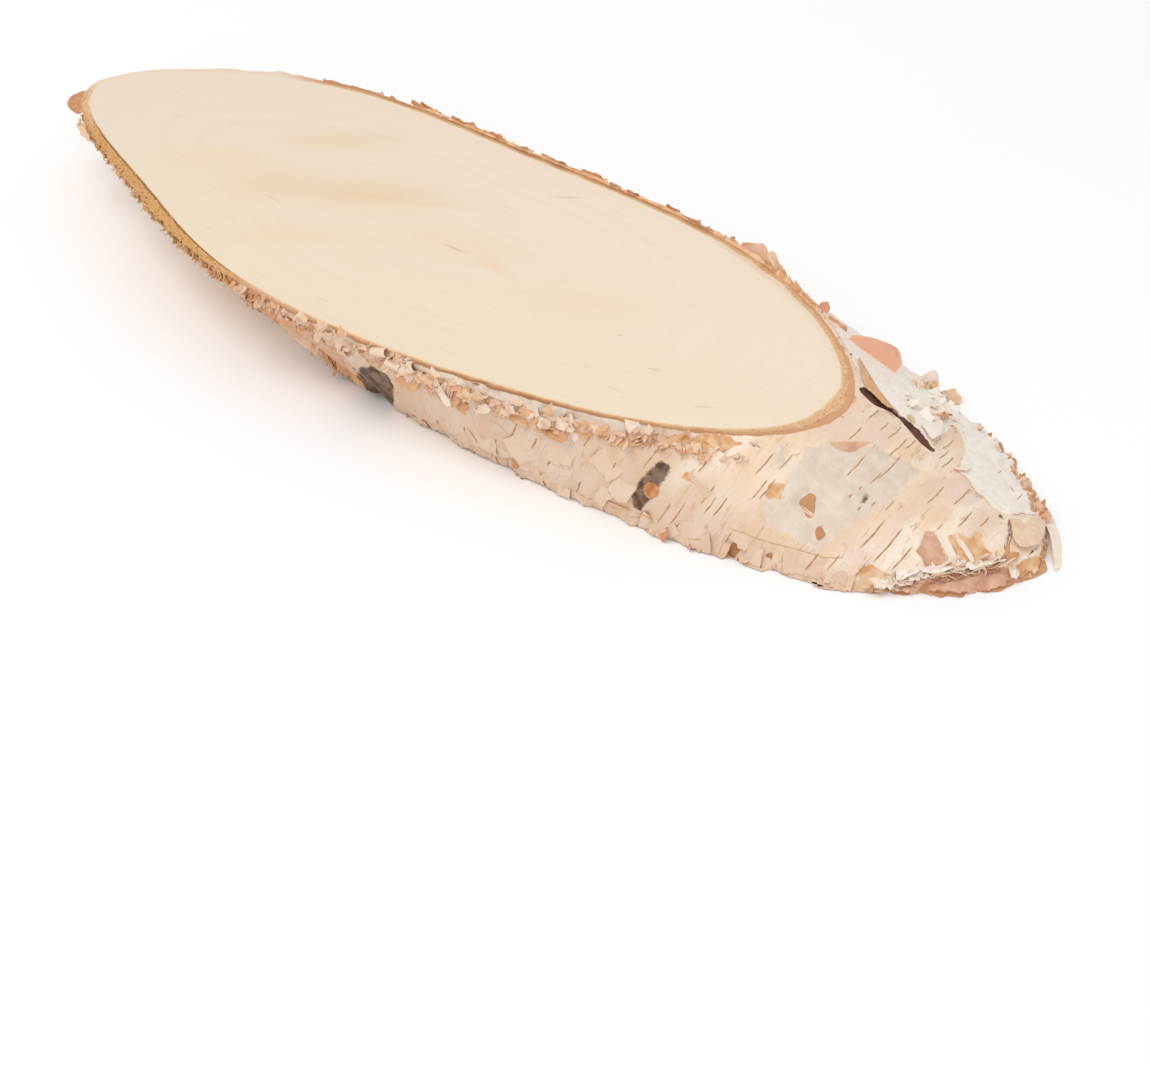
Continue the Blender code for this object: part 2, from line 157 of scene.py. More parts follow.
@dataclass(frozen=True)
class LogSide:
    """The even side of the slanted log, between the outlines of the two sawn faces, as the solids have it."""

    thickness: float = 20.9 * MM
    half_length: float = 117.0 * MM
    half_width: float = 51.4 * MM
    lean: tuple[float, float] = (48.8 * MM, 9.8 * MM)
    middle: tuple[float, float] = (21.8 * MM, 1.9 * MM)
    top_waves: tuple = ((2, 0.070, -2.5), (3, 0.028, 43.0), (4, 0.010, 4.0), (5, 0.023, -18.0), (6, 0.011, 11.0))
    bottom_waves: tuple = ((2, 0.072, -5.0), (3, 0.024, 51.0), (4, 0.003, -12.0), (5, 0.022, -19.0), (6, 0.017, 10.0))

    @cached_property
    def grain(self) -> Array:
        """The direction of the log's fibres, down and to the right."""
        line = np.array([*self.lean, -self.thickness])
        return line / np.linalg.norm(line)

    def face(self, waves: tuple, turn: Array) -> Array:
        """The outline of a face, measured from that face's middle."""
        angle = np.radians(turn)
        radius = 1.0 + sum(size * np.cos(count * (angle - math.radians(crest))) for count, size, crest in waves)
        return np.stack([self.half_length * radius * np.cos(angle), self.half_width * radius * np.sin(angle)], -1)

    def point(self, turn: Array, share: Array) -> Array:
        """Points of the side, in the frame."""
        turn, share = np.broadcast_arrays(np.asarray(turn, float), np.asarray(share, float))
        part = share[..., None]
        top = self.face(self.top_waves, turn)
        bottom = self.face(self.bottom_waves, turn) + self.lean
        level = top * (1.0 - part) + bottom * part - self.middle
        return np.concatenate([level, self.thickness * (1.0 - part)], -1)

    def slopes(self, turn: Array, share: Array) -> tuple[Array, Array]:
        """How a point of the side moves for one degree of turn, and for one whole share."""
        along_turn = self.point(turn + 0.5, share) - self.point(turn - 0.5, share)
        along_share = self.point(turn, share + 0.5) - self.point(turn, share - 0.5)
        return along_turn, along_share

    def axes(self, turn: Array, share: Array) -> tuple[Array, Array, Array]:
        """The level, upward and outward directions at points of the side."""
        turn, share = np.broadcast_arrays(np.asarray(turn, float), np.asarray(share, float))
        along_turn, along_share = self.slopes(turn, share)
        out = np.cross(along_share, along_turn)
        out /= np.linalg.norm(out, axis=-1, keepdims=True)
        level = along_turn / np.linalg.norm(along_turn, axis=-1, keepdims=True)
        up = np.cross(out, level)
        up *= np.sign(up[..., 2:])
        return level, up, out

    def stepped(self, turn: Array, share: Array, across: Array, up: Array) -> tuple[Array, Array]:
        """The turn and share reached by going level across and up the bark from a place."""
        along_turn, along_share = self.slopes(turn, share)
        level, upward, _ = self.axes(turn, share)
        step = level * np.asarray(across)[..., None] + upward * np.asarray(up)[..., None]
        tt = (along_turn**2).sum(-1)
        ts = (along_turn * along_share).sum(-1)
        ss = (along_share**2).sum(-1)
        to_turn = (step * along_turn).sum(-1)
        to_share = (step * along_share).sum(-1)
        spread = tt * ss - ts * ts
        return turn + (to_turn * ss - to_share * ts) / spread, share + (to_share * tt - to_turn * ts) / spread

    def grain_place(self, points: Array) -> Array:
        """Points in the log's own axes: across the fibres twice, and along them last."""
        side = np.cross(self.grain, (0.0, 0.0, 1.0))
        side /= np.linalg.norm(side)
        other = np.cross(self.grain, side)
        return np.stack([points @ side, points @ other, points @ self.grain], -1)

    @cached_property
    def _round_table(self) -> tuple[Array, Array]:
        """Turns, and the length round the log from turn 0 to each."""
        turns = np.arange(-360.0, 720.5, 0.5)
        ring = self.grain_place(self.point(turns, 0.0))[:, :2]
        length = np.concatenate([[0.0], np.cumsum(np.linalg.norm(np.diff(ring, axis=0), axis=1))])
        return turns, length - np.interp(0.0, turns, length)

    @cached_property
    def girth(self) -> float:
        """The length once round the log."""
        return float(np.interp(360.0, *self._round_table))

    def rolled_out(self, turn: Array, share: Array) -> Array:
        """Places on the bark as if it lay flat: length round the log, and length along it."""
        return np.stack([np.interp(turn, *self._round_table), self.point(turn, share) @ self.grain], -1)

    def rolled_back(self, around: Array, along: Array) -> tuple[Array, Array]:
        """The turn and share of places on the flattened bark."""
        turns, length = self._round_table
        turn = np.interp(around, length, turns)
        top = self.point(turn, 0.0) @ self.grain
        bottom = self.point(turn, 1.0) @ self.grain
        return turn, (along - top) / (bottom - top)

    def rolled_line(self, places: tuple[Place, ...]) -> Array:
        """Turns and shares on the flattened bark, unwrapped so that none jumps round the log."""
        turns = np.array([place[0] for place in places], float)
        turns = turn_between(turns, turns[0]) + turns[0]
        return self.rolled_out(turns, np.array([place[1] for place in places], float))


class Layer(Enum):
    """What a patch of the bark shows once the sheets above it have torn away."""

    CHALK = "chalk"
    GREY = "grey"
    PINK = "pink"
    BAST = "bast"
    SOOT = "soot"
    # The open crack, coloured dark: brown inner bark with painted shade in it
    GAP = "gap"


@dataclass(frozen=True)
class Patch:
    """A torn patch: its corners as turns and shares, and how far its surface lies above the rest."""

    layer: Layer
    rise: float
    ragged: float
    corners: tuple[Place, ...]


@dataclass(frozen=True)
class Bump:
    """A knot or scar: its place, the heading of its long side, its half sizes and its height."""

    turn: float
    share: float
    heading: float
    half_length: float
    half_width: float
    height: float


PATCHES = (
    # White paper between the ring, the crack and the far side, and the chalky paper below it
    Patch(Layer.CHALK, 0.12 * MM, 0.5 * MM, (
        (33.5, 0.05), (24, 0.03), (15.5, 0.04), (15.8, 0.18), (15.3, 0.29), (14.5, 0.38), (18, 0.42), (21, 0.47),
        (27, 0.55), (34, 0.70), (46, 0.85), (56, 0.95), (60, 0.6), (47.5, 0.3), (40, 0.1))),
    Patch(Layer.CHALK, 0.22 * MM, 0.45 * MM, (
        (26, 0.63), (21, 0.59), (15, 0.54), (12.5, 0.52), (12, 0.58), (10, 0.62), (10.5, 0.66), (9.5, 0.71),
        (10, 0.78), (11, 0.81), (14.5, 0.86), (18, 0.94), (22, 1.05), (30, 1.2), (50, 1.2), (56, 1.0), (50, 0.8),
        (40, 0.7))),
    Patch(Layer.GREY, 0.05 * MM, 0.3 * MM, ((338, 0.22), (345, 0.05), (346.5, 0.06), (341, 0.21))),
    # Grey crumpled paper: the middle of the right end, the strip below the ring, and the near left
    Patch(Layer.GREY, -0.2 * MM, 0.7 * MM, (
        (329.5, 0.43), (324.5, 0.63), (326.5, 0.73), (327.5, 0.77), (335, 0.64), (340, 0.56), (346, 0.50),
        (352.5, 0.45), (0, 0.39), (5, 0.40), (3.5, 0.28), (0.5, 0.17), (355.5, 0.11), (349, 0.08), (345.5, 0.15),
        (337, 0.31))),
    Patch(Layer.GREY, -0.35 * MM, 0.6 * MM, (
        (284, -0.3), (286, 0.04), (290, 0.12), (294.5, 0.13), (299.5, 0.11), (301.5, 0.15), (305.5, 0.16),
        (310.5, 0.11), (314.5, 0.09), (317.5, 0.12), (322, 0.12), (330, 0.05), (338, -0.02), (338, -0.3))),
    Patch(Layer.GREY, -0.3 * MM, 0.6 * MM, (
        (281, -0.3), (277.5, 0.05), (273.5, 0.19), (271.8, 0.32), (269.5, 0.46), (272.5, 0.42), (278, 0.2),
        (283.5, 0.06), (285, -0.3))),
    # Pink-brown sheets: a tear, the skin under the rolled lip, a torn triangle, and the near left plate
    Patch(Layer.PINK, -0.15 * MM, 0.4 * MM, (
        (354, 0.09), (357.5, 0.11), (2, 0.17), (356.5, 0.17), (354, 0.16), (353.5, 0.14))),
    Patch(Layer.PINK, -0.45 * MM, 0.3 * MM, (
        (330, 0.97), (333.5, 0.93), (337, 0.89), (342, 0.86), (347.5, 0.85), (352, 0.86), (356, 0.90), (357, 0.95),
        (355, 1.2), (326, 1.2))),
    Patch(Layer.PINK, -0.3 * MM, 0.2 * MM, (
        (350.5, 0.63), (352, 0.64), (350, 0.72), (348, 0.79), (345, 0.83), (343, 0.82), (344.5, 0.73), (346.5, 0.70))),
    Patch(Layer.BAST, 0.0, 0.4 * MM, ((330, 0.44), (334.5, 0.32), (337.5, 0.31), (333, 0.42))),
    Patch(Layer.PINK, 0.4 * MM, 0.5 * MM, (
        (271, 0.04), (272, 0.16), (271, 0.34), (268, 0.49), (265.5, 0.56), (262, 0.80), (256, 0.95), (248, 0.7),
        (252, 0.4), (256, 0.15), (264, 0.04))),
    # Orange torn places: beside the lip, where the paper has gone at the end, and below the grey strip
    Patch(Layer.BAST, -0.3 * MM, 0.2 * MM, (
        (353.5, 0.68), (355, 0.68), (353, 0.74), (352.5, 0.80), (350, 0.84), (350, 0.78), (352, 0.71))),
    Patch(Layer.BAST, -0.3 * MM, 0.2 * MM, (
        (356, 0.67), (356, 0.71), (356.7, 0.73), (359.5, 0.71), (0, 0.73), (357.5, 0.79), (357, 0.85), (351.5, 0.84),
        (354, 0.74))),
    Patch(Layer.BAST, -0.2 * MM, 0.3 * MM, ((334, 0.81), (334.5, 0.89), (329, 0.92), (331, 0.85))),
    Patch(Layer.BAST, -0.6 * MM, 0.5 * MM, (
        (357, 0.93), (0.5, 0.92), (5, 0.955), (10.5, 0.96), (15.5, 0.975), (20, 1.2), (354, 1.2))),
    Patch(Layer.BAST, -0.1 * MM, 0.2 * MM, ((320, 0.38), (323, 0.31), (323.5, 0.33), (321.8, 0.41))),
    Patch(Layer.BAST, -0.2 * MM, 0.9 * MM, (
        (284, 0.04), (288, 0.17), (291, 0.26), (294, 0.18), (298, 0.20), (301, 0.27), (304, 0.18), (307, 0.23),
        (310, 0.18), (316, 0.16), (319, 0.20), (323, 0.15), (329, 0.12), (334, 0.12), (339, 0.06), (338, 0.0),
        (328, 0.06), (318, 0.10), (308, 0.12), (298, 0.08), (288, 0.05))),
    # Dark knots and scars
    Patch(Layer.SOOT, 0.0, 0.7 * MM, (
        (272.5, 0.42), (279.5, 0.26), (280.5, 0.31), (276, 0.50), (262, 0.95), (256, 0.98), (256.5, 0.90),
        (261, 0.76), (267, 0.58))),
    Patch(Layer.SOOT, 0.0, 0.4 * MM, (
        (319, 0.30), (321, 0.26), (321.3, 0.29), (317.0, 0.42), (313.4, 0.515), (310.5, 0.61), (306.9, 0.70),
        (303.2, 0.81), (302.6, 0.79), (305.6, 0.67), (309.2, 0.56), (312.6, 0.46), (316.6, 0.355))),
    Patch(Layer.SOOT, 0.0, 0.3 * MM, ((348.3, 0.39), (348.8, 0.41), (346, 0.445), (345.2, 0.44))),
    Patch(Layer.SOOT, 0.0, 0.3 * MM, ((340.2, 0.05), (341.5, 0.055), (341, 0.085), (339.6, 0.08))),
    Patch(Layer.SOOT, 0.0, 0.25 * MM, ((332.6, 0.065), (333.4, 0.07), (333, 0.095), (332.4, 0.09))),
    Patch(Layer.SOOT, 0.0, 0.3 * MM, ((7.8, 0.74), (9.2, 0.74), (9.3, 0.765), (8, 0.77))),
)

BUMPS = (
    Bump(311.5, 0.56, -28.0, 8.0 * MM, 2.2 * MM, 0.7 * MM),
    Bump(270.0, 0.62, 10.0, 6.0 * MM, 4.0 * MM, 0.8 * MM),
    Bump(346.5, 0.36, 0.0, 3.0 * MM, 2.0 * MM, 0.4 * MM),
    Bump(7.0, 0.88, 80.0, 7.0 * MM, 4.5 * MM, 1.1 * MM),
)


@dataclass(frozen=True)
class Stroke:
    """A line on the bark: its places, half its width and how ragged its sides are."""

    half_width: float
    ragged: float
    places: tuple[Place, ...]


CRACK_PLACES = ((15.6, 0.05), (15.1, 0.12), (15.8, 0.19), (15.8, 0.24), (15.2, 0.29), (14.4, 0.34), (13.4, 0.40))

# Painted shadow: the open crack's second strand, inner bark's brown darkened as painted shade, and dark lines of
# painted shadow beside loose sheets
CRACK_AND_PAINTED_SHADOW_STROKES = (
    Stroke(0.3 * MM, 0.6, ((14.7, 0.12), (14.9, 0.18), (15.4, 0.25))),
    Stroke(0.2 * MM, 0.8, ((14.1, 0.16), (14.3, 0.19), (13.8, 0.205))),
    Stroke(0.22 * MM, 0.3, ((270.5, 0.06), (272.2, 0.16), (271.2, 0.34), (268.2, 0.49), (264, 0.72))),
    Stroke(0.25 * MM, 0.6, ((9.2, 0.79), (5.2, 0.815), (359.5, 0.845))),
    Stroke(0.2 * MM, 0.5, ((17, 0.93), (12.5, 0.955), (5.5, 0.935), (1.5, 0.925))),
    Stroke(0.15 * MM, 0.5, ((14.2, 0.40), (16.5, 0.42), (20, 0.46), (21, 0.44))),
)

# Light brown edges where one sheet ends on another
EDGE_STROKES = (
    Stroke(0.15 * MM, 0.6, ((12.4, 0.53), (12, 0.58), (9.9, 0.62), (10.4, 0.66), (9.5, 0.71))),
    Stroke(0.12 * MM, 0.6, ((10.5, 0.79), (12, 0.82), (14.5, 0.85), (17.5, 0.93))),
    Stroke(0.11 * MM, 0.8, ((317, 0.71), (320.4, 0.755), (324.2, 0.77), (327.5, 0.80), (330.5, 0.79), (332.8, 0.73))),
    Stroke(0.12 * MM, 0.6, ((295, 0.36), (294.6, 0.42), (294.2, 0.48), (296, 0.44))),
    Stroke(0.12 * MM, 0.6, ((306.5, 0.92), (309, 0.88), (312.5, 0.90), (316, 0.84))),
    Stroke(0.14 * MM, 0.6, ((276, 0.88), (280, 0.86), (283, 0.89), (287, 0.86))),
    Stroke(0.14 * MM, 0.6, ((291, 0.90), (295, 0.87), (298, 0.91), (302, 0.88))),
    Stroke(0.12 * MM, 0.5, ((35.5, 0.11), (36.2, 0.24), (36.8, 0.38))),
)

# The shade in the slot under the rolled lip, and beside the plate on the left
SHADE_STROKES = (
    Stroke(0.8 * MM, 0.7, ((334, 0.95), (338.5, 0.92), (345, 0.895), (352, 0.89), (356.2, 0.915))),
    Stroke(0.8 * MM, 0.7, ((269, 0.52), (265.5, 0.62), (262, 0.76))),
    Stroke(0.35 * MM, 0.6, ((9.2, 0.79), (5.2, 0.82), (0.0, 0.85), (359.0, 0.88))),
    Stroke(0.5 * MM, 0.8, ((289, 0.29), (292, 0.25), (294.5, 0.25))),
    Stroke(0.6 * MM, 0.8, ((303.5, 0.27), (306, 0.24), (309, 0.20))),
    Stroke(0.5 * MM, 0.8, ((282.5, 0.29), (285, 0.24), (288, 0.22))),
)

# Lenticels of the near side and the right end: turn, share, length and half width in millimetres
LENTICELS = (
    (341, 0.62, 8.0, 0.22), (341, 0.69, 9.5, 0.24), (340.5, 0.77, 7.0, 0.22), (1, 0.50, 7.5, 0.20),
    (6, 0.58, 8.0, 0.20), (0.5, 0.65, 6.5, 0.20), (3.5, 0.71, 4.5, 0.18), (354, 0.63, 2.0, 0.18),
    (354, 0.32, 4.5, 0.18), (1, 0.10, 5.5, 0.16), (10.5, 0.11, 5.0, 0.16), (9, 0.17, 4.0, 0.16),
    (9.5, 0.22, 7.0, 0.17), (6, 0.26, 9.0, 0.17), (9.5, 0.30, 5.0, 0.17), (353, 0.24, 7.0, 0.17),
    (359, 0.30, 9.5, 0.18), (20, 0.50, 8.0, 0.15), (13, 0.48, 7.0, 0.20), (14.5, 0.46, 5.0, 0.18),
    (311, 0.25, 3.2, 0.20), (309, 0.45, 3.2, 0.24), (305, 0.63, 3.2, 0.24), (294, 0.83, 5.5, 0.26),
    (319.5, 0.26, 5.5, 0.15), (308.5, 0.73, 5.0, 0.26), (311, 0.70, 6.0, 0.22), (321.3, 0.47, 4.8, 0.22),
    (319, 0.56, 4.4, 0.22), (320.7, 0.55, 4.8, 0.22), (327, 0.25, 3.2, 0.20), (338, 0.19, 5.8, 0.20),
    (342.3, 0.17, 4.4, 0.18), (331.5, 0.37, 5.2, 0.20), (333, 0.36, 5.3, 0.20), (313, 0.85, 4.6, 0.22),
    (273.5, 0.81, 4.5, 0.30), (281, 0.70, 4.4, 0.32), (285, 0.72, 6.0, 0.34), (297, 0.39, 5.0, 0.34),
    (298, 0.46, 3.6, 0.32), (297, 0.58, 4.4, 0.32), (288.5, 0.74, 1.6, 0.30), (324, 0.86, 5.0, 0.22),
    (328, 0.83, 4.0, 0.20), (330, 0.88, 4.5, 0.20), (316, 0.20, 2.6, 0.18), (350, 0.47, 3.0, 0.14),
    (25, 0.80, 3.0, 0.12), (20, 0.86, 4.0, 0.12), (345, 0.40, 1.2, 0.22), (347.5, 0.45, 1.5, 0.22),
    (344, 0.47, 1.0, 0.25), (348.5, 0.36, 1.0, 0.2),
)


@dataclass(frozen=True)
class BarkRelief:
    """The shape of the papery bark's surface over the even log, and what each place of it shows."""

    side: LogSide = LogSide()
    reach: float = 3.0 * MM
    proud: float = 0.35 * MM
    swell: float = 0.3 * MM
    far_swell: float = 0.5 * MM
    crinkle: float = 0.08 * MM
    fold: float = 0.75 * MM
    rim_wave: float = 2.0 * MM
    crack_half_width: float = 1.15 * MM
    crack_depth: float = 0.3 * MM
    frayed_turn: float = 234.0
    frayed_spread: float = 30.0
    frayed_rise: float = 1.5 * MM
    far_lip: float = 1.0 * MM

    @cached_property
    def outlines(self) -> list[Array]:
        """The patches' corners on the flattened bark."""
        return [self.side.rolled_line(patch.corners) for patch in PATCHES]

    def _depth(self, flat: Array, corners: Array, closed: bool) -> Array:
        """How deep flattened places lie inside an outline, or minus the distance to it, down to minus the reach."""
        middle = corners[:, 0].mean()
        near = flat.copy()
        near[:, 0] = (flat[:, 0] - middle + self.side.girth / 2.0) % self.side.girth - self.side.girth / 2.0 + middle
        close = ((near > corners.min(0) - self.reach) & (near < corners.max(0) + self.reach)).all(1)
        result = np.full(len(flat), -self.reach)
        near = near[close]
        best = np.full(len(near), np.inf)
        inside = np.zeros(len(near), bool)
        for start, end in zip(corners, np.roll(corners, -1, axis=0) if closed else corners[1:]):
            line = end - start
            part = np.clip(((near - start) @ line) / (line @ line), 0.0, 1.0)
            best = np.minimum(best, np.linalg.norm(near - start - part[:, None] * line, axis=1))
            if closed and end[1] != start[1]:
                crosses = (start[1] > near[:, 1]) != (end[1] > near[:, 1])
                inside ^= crosses & (near[:, 0] < start[0] + line[0] / line[1] * (near[:, 1] - start[1]))
        result[close] = np.maximum(np.where(inside, best, -best), -self.reach)
        return result

    def read(self, turn: Array, share: Array) -> tuple[Array, dict[Layer, Array]]:
        """What the bark is like at some places.

        Args:
            turn: degrees round the slice.
            share: parts of the way down the side.

        Returns:
            How far it stands out from the even log, and how deep each place lies inside each kind of patch, in
            millimetres from -3 to 3.
        """
        turn, share = (part.ravel() for part in np.broadcast_arrays(np.asarray(turn, float), share))
        points = self.side.point(turn, share)
        place = self.side.grain_place(points) / MM
        flat = self.side.rolled_out(turn, share)
        depths = {layer: np.full(len(turn), -self.reach) for layer in Layer}
        height = self._even(turn, share, place)
        for seed, (patch, corners) in enumerate(zip(PATCHES, self.outlines)):
            depth = self._depth(flat, corners, True)
            close = depth > -self.reach
            depth[close] += patch.ragged * Noise(seed).layered(place[close] * (0.33, 0.33, 0.66), 3)
            depths[patch.layer] = np.maximum(depths[patch.layer], depth)
            height += patch.rise * smooth_step(depth, -0.15 * MM, 0.35 * MM)
            height += max(0.0, -patch.rise) * 0.35 * np.exp(-(((depth + 0.35 * MM) / (0.4 * MM)) ** 2))
        far = smooth_step(np.abs(turn_between(turn, 150.0)), 90.0, 70.0)
        for seed, layer, level in ((61, Layer.CHALK, 0.16), (62, Layer.GREY, 0.30), (63, Layer.PINK, 0.38)):
            wild = (Noise(seed).layered(place * (0.04, 0.04, 0.08), 4) - level) * 14.0 * MM
            depths[layer] = np.where(far > 0.5, np.maximum(depths[layer], wild), depths[layer])
        folds = 1.0 - 3.0 * np.abs(Noise(7).layered(place * (0.10, 0.10, 0.15), 3))
        height += self.fold * folds * smooth_step(depths[Layer.GREY], 0.0, 2.0 * MM)
        for bump in BUMPS:
            height += self._bump(bump, points)
        # The open crack: sunk a little, and its mask coloured dark by the bark's material, inner bark with painted
        # shade
        crack = self._depth(flat, self.side.rolled_line(CRACK_PLACES), False)
        crack += self.crack_half_width * (1.0 + 0.5 * np.cos((share - 0.08) / 0.24 * 2.0 * np.pi))
        height -= self.crack_depth * smooth_step(crack, -0.2 * MM, 0.4 * MM)
        depths[Layer.GAP] = np.maximum(crack, -self.reach)
        frayed = bell(turn, self.frayed_turn, self.frayed_spread)
        rough = 1.0 + 0.7 * Noise(5).layered(points / (2.2 * MM), 3)
        height += self.frayed_rise * frayed * smooth_step(share, 0.30, 0.0) * rough
        lip = smooth_step(np.abs(turn_between(turn, 100.0)), 66.0, 50.0) * smooth_step(share, 0.22, 0.0)
        height += self.far_lip * lip * (0.6 + 0.9 * Noise(8).layered(points / (6.0 * MM), 3))
        rim = 0.5 * MM * Noise(9).layered(points / (2.0 * MM), 2) - (1.0 - share) * 16.0 * MM
        top_rim = 0.4 * MM * Noise(10).layered(points / (2.0 * MM), 2) - share * 10.0 * MM
        bared = np.maximum((frayed - 0.30) * 8.0, 2.2 * smooth_step(np.abs(turn_between(turn, 100.0)), 62.0, 48.0))
        torn = np.maximum(rim, np.maximum(top_rim, (bared - share * 10.0) * MM))
        depths[Layer.BAST] = np.maximum(depths[Layer.BAST], torn)
        return height, {layer: np.clip(depth / MM, -3.0, 3.0) for layer, depth in depths.items()}

    def _even(self, turn: Array, share: Array, place: Array) -> Array:
        """The height of the bark's own waves: larger on the far side, and scalloped at the lower rim."""
        far = smooth_step(np.abs(turn_between(turn, 115.0)), 85.0, 60.0)
        waves = Noise(3).layered(place * (1 / 30, 1 / 30, 1 / 9), 2) * self.swell
        waves += far * self.far_swell * Noise(6).layered(place * (1 / 9, 1 / 9, 1 / 7), 2)
        waves += self.rim_wave * Noise(2).layered(place * (0.12, 0.12, 0.36), 2) * smooth_step(share, 0.62, 1.0)
        return self.proud + waves + self.crinkle * Noise(4).layered(place * (0.2, 0.2, 0.9), 2)

    def tone(self, turn: Array, share: Array) -> Array:
        """0 where the bark is peach, as at the right end, to 1 where it is beige, as on the near side."""
        near = smooth_step(np.abs(turn_between(turn, 285.0)), 55.0, 22.0)
        return np.maximum(near, 0.7 * smooth_step(np.abs(turn_between(turn, 170.0)), 110.0, 60.0))

    def height(self, turn: Array, share: Array) -> Array:
        """How far the bark's surface stands out from the even log, in metres."""
        shape = np.broadcast_shapes(np.shape(turn), np.shape(share))
        return self.read(turn, share)[0].reshape(shape)

    def _bump(self, bump: Bump, points: Array) -> Array:
        """How high a knot stands at points of the side."""
        centre = self.side.point(bump.turn, bump.share)
        level, up, _ = self.side.axes(bump.turn, bump.share)
        angle = math.radians(bump.heading)
        line = up * math.cos(angle) + level * math.sin(angle)
        away = points - centre
        along = away @ line
        across = np.linalg.norm(away - along[..., None] * line, axis=-1)
        return bump.height * np.exp(-((along / bump.half_length) ** 2) - (across / bump.half_width) ** 2)

    def surface(self, turn: Array, share: Array, out: Array | float = 0.0) -> Array:
        """Points on the bark, or out from it."""
        _, _, outward = self.side.axes(turn, share)
        return self.side.point(turn, share) + outward * (self.height(turn, share) + out)[..., None]


def mesh_object(name: str, points: Array, faces: list, material: bpy.types.Material | None) -> bpy.types.Object:
    """Makes an object of a mesh and adds it to the scene.

    Args:
        name: the object's name.
        points: its points, in metres.
        faces: its faces as lists of point numbers.
        material: its material.

    Returns:
        The new object, shaded smooth.
    """
    mesh = bpy.data.meshes.new(name)
    mesh.from_pydata([tuple(p) for p in points], [], [tuple(int(i) for i in f) for f in faces])
    mesh.materials.append(material)
    mesh.shade_smooth()
    thing = bpy.data.objects.new(name, mesh)
    bpy.context.scene.collection.objects.link(thing)
    return thing


def store(thing: bpy.types.Object, name: str, values: Array, domain: str = "POINT") -> None:
    """Stores numbers or vectors on a mesh under a name, for its material to read."""
    kind = "FLOAT_VECTOR" if values.ndim == 2 else "FLOAT"
    attribute = thing.data.attributes.new(name, kind, domain)
    attribute.data.foreach_set("vector" if values.ndim == 2 else "value", values.astype(np.float32).ravel())


def grid_faces(rows: int, columns: int, wrapped: bool, start: int = 0) -> list[tuple[int, int, int, int]]:
    """Faces of a grid whose rows run on in memory; wrapped joins each row's end to its start."""
    faces = []
    for row in range(rows - 1):
        first, below = start + row * columns, start + (row + 1) * columns
        for i in range(columns if wrapped else columns - 1):
            after = (i + 1) % columns
            faces.append((first + i, below + i, below + after, first + after))
    return faces


def closed_tube(name: str, loops: list[Array], material: bpy.types.Material) -> bpy.types.Object:
    """Makes a closed ring of loops round the slice, the last one joined to the first, with its faces outward."""
    count = len(loops[0])
    faces = grid_faces(len(loops), count, True)
    last = (len(loops) - 1) * count
    for i in range(count):
        after = (i + 1) % count
        faces.append((last + i, i, after, last + after))
    return facing_out(mesh_object(name, np.concatenate(loops), faces, material))


def facing_out(thing: bpy.types.Object) -> bpy.types.Object:
    """Turns a closed mesh's faces outward where its volume reads negative, and keeps its corners sharp."""
    mesh = thing.data
    mesh.calc_loop_triangles()
    points = np.array([v.co for v in mesh.vertices])
    corners = points[np.array([t.vertices for t in mesh.loop_triangles])]
    if np.einsum("ij,ij->i", corners[:, 0], np.cross(corners[:, 1], corners[:, 2])).sum() < 0.0:
        mesh.flip_normals()
    mesh.set_sharp_from_angle(angle=math.radians(50.0))
    return thing


@dataclass(frozen=True)
class Finish:
    """What a finish shares: its name, its roughness, and how its tree begins and ends."""

    name: str
    roughness: float = 0.7

    def begin(self) -> tuple[bpy.types.Material, bpy.types.NodeTree, bpy.types.Node]:
        """A new material with a Principled BSDF.

        Returns:
            The material, its tree and its shader node.
        """
        material = bpy.data.materials.new(self.name)
        material.use_nodes = True
        tree = material.node_tree
        shader = tree.nodes["Principled BSDF"]
        shader.inputs["Roughness"].default_value = self.roughness
        shader.inputs["IOR"].default_value = 1.45
        shader.inputs["Specular IOR Level"].default_value = 0.3
        return material, tree, shader

    @staticmethod
    def overlaid(tree: bpy.types.NodeTree, base: object, layers: list[tuple]) -> bpy.types.NodeSocket:
        """Lays colours over a base, one after the other.

        Args:
            tree: the shader tree.
            base: the first colour, as hex digits or an output.
            layers: for each, how much of it shows (an output or a number) and its colour.

        Returns:
            The output with the last colour.
        """
        for part, colour in layers:
            first = linear(base) if isinstance(base, str) else base
            second = linear(colour) if isinstance(colour, str) else colour
            base = add(tree, "ShaderNodeMix", {0: part, 6: first, 7: second}, data_type="RGBA").outputs[2]
        return base

    @staticmethod
    def end(tree: bpy.types.NodeTree, shader: bpy.types.Node, colour: bpy.types.NodeSocket,
            height: bpy.types.NodeSocket | None = None, distance: float = 0.0002) -> None:
        """Links the colour, and a bump some distance high, to the shader."""
        tree.links.new(colour, shader.inputs["Base Color"])
        if height:
            bump = add(tree, "ShaderNodeBump", {"Height": height, "Strength": 0.5, "Distance": distance})
            tree.links.new(bump.outputs[0], shader.inputs["Normal"])


@dataclass(frozen=True)
class Stain:
    """A soft mark on the sawn face: its middle, half sizes, direction in degrees, colour and strength."""

    x: float
    y: float
    half_length: float
    half_width: float
    angle: float
    colour: str
    strength: float


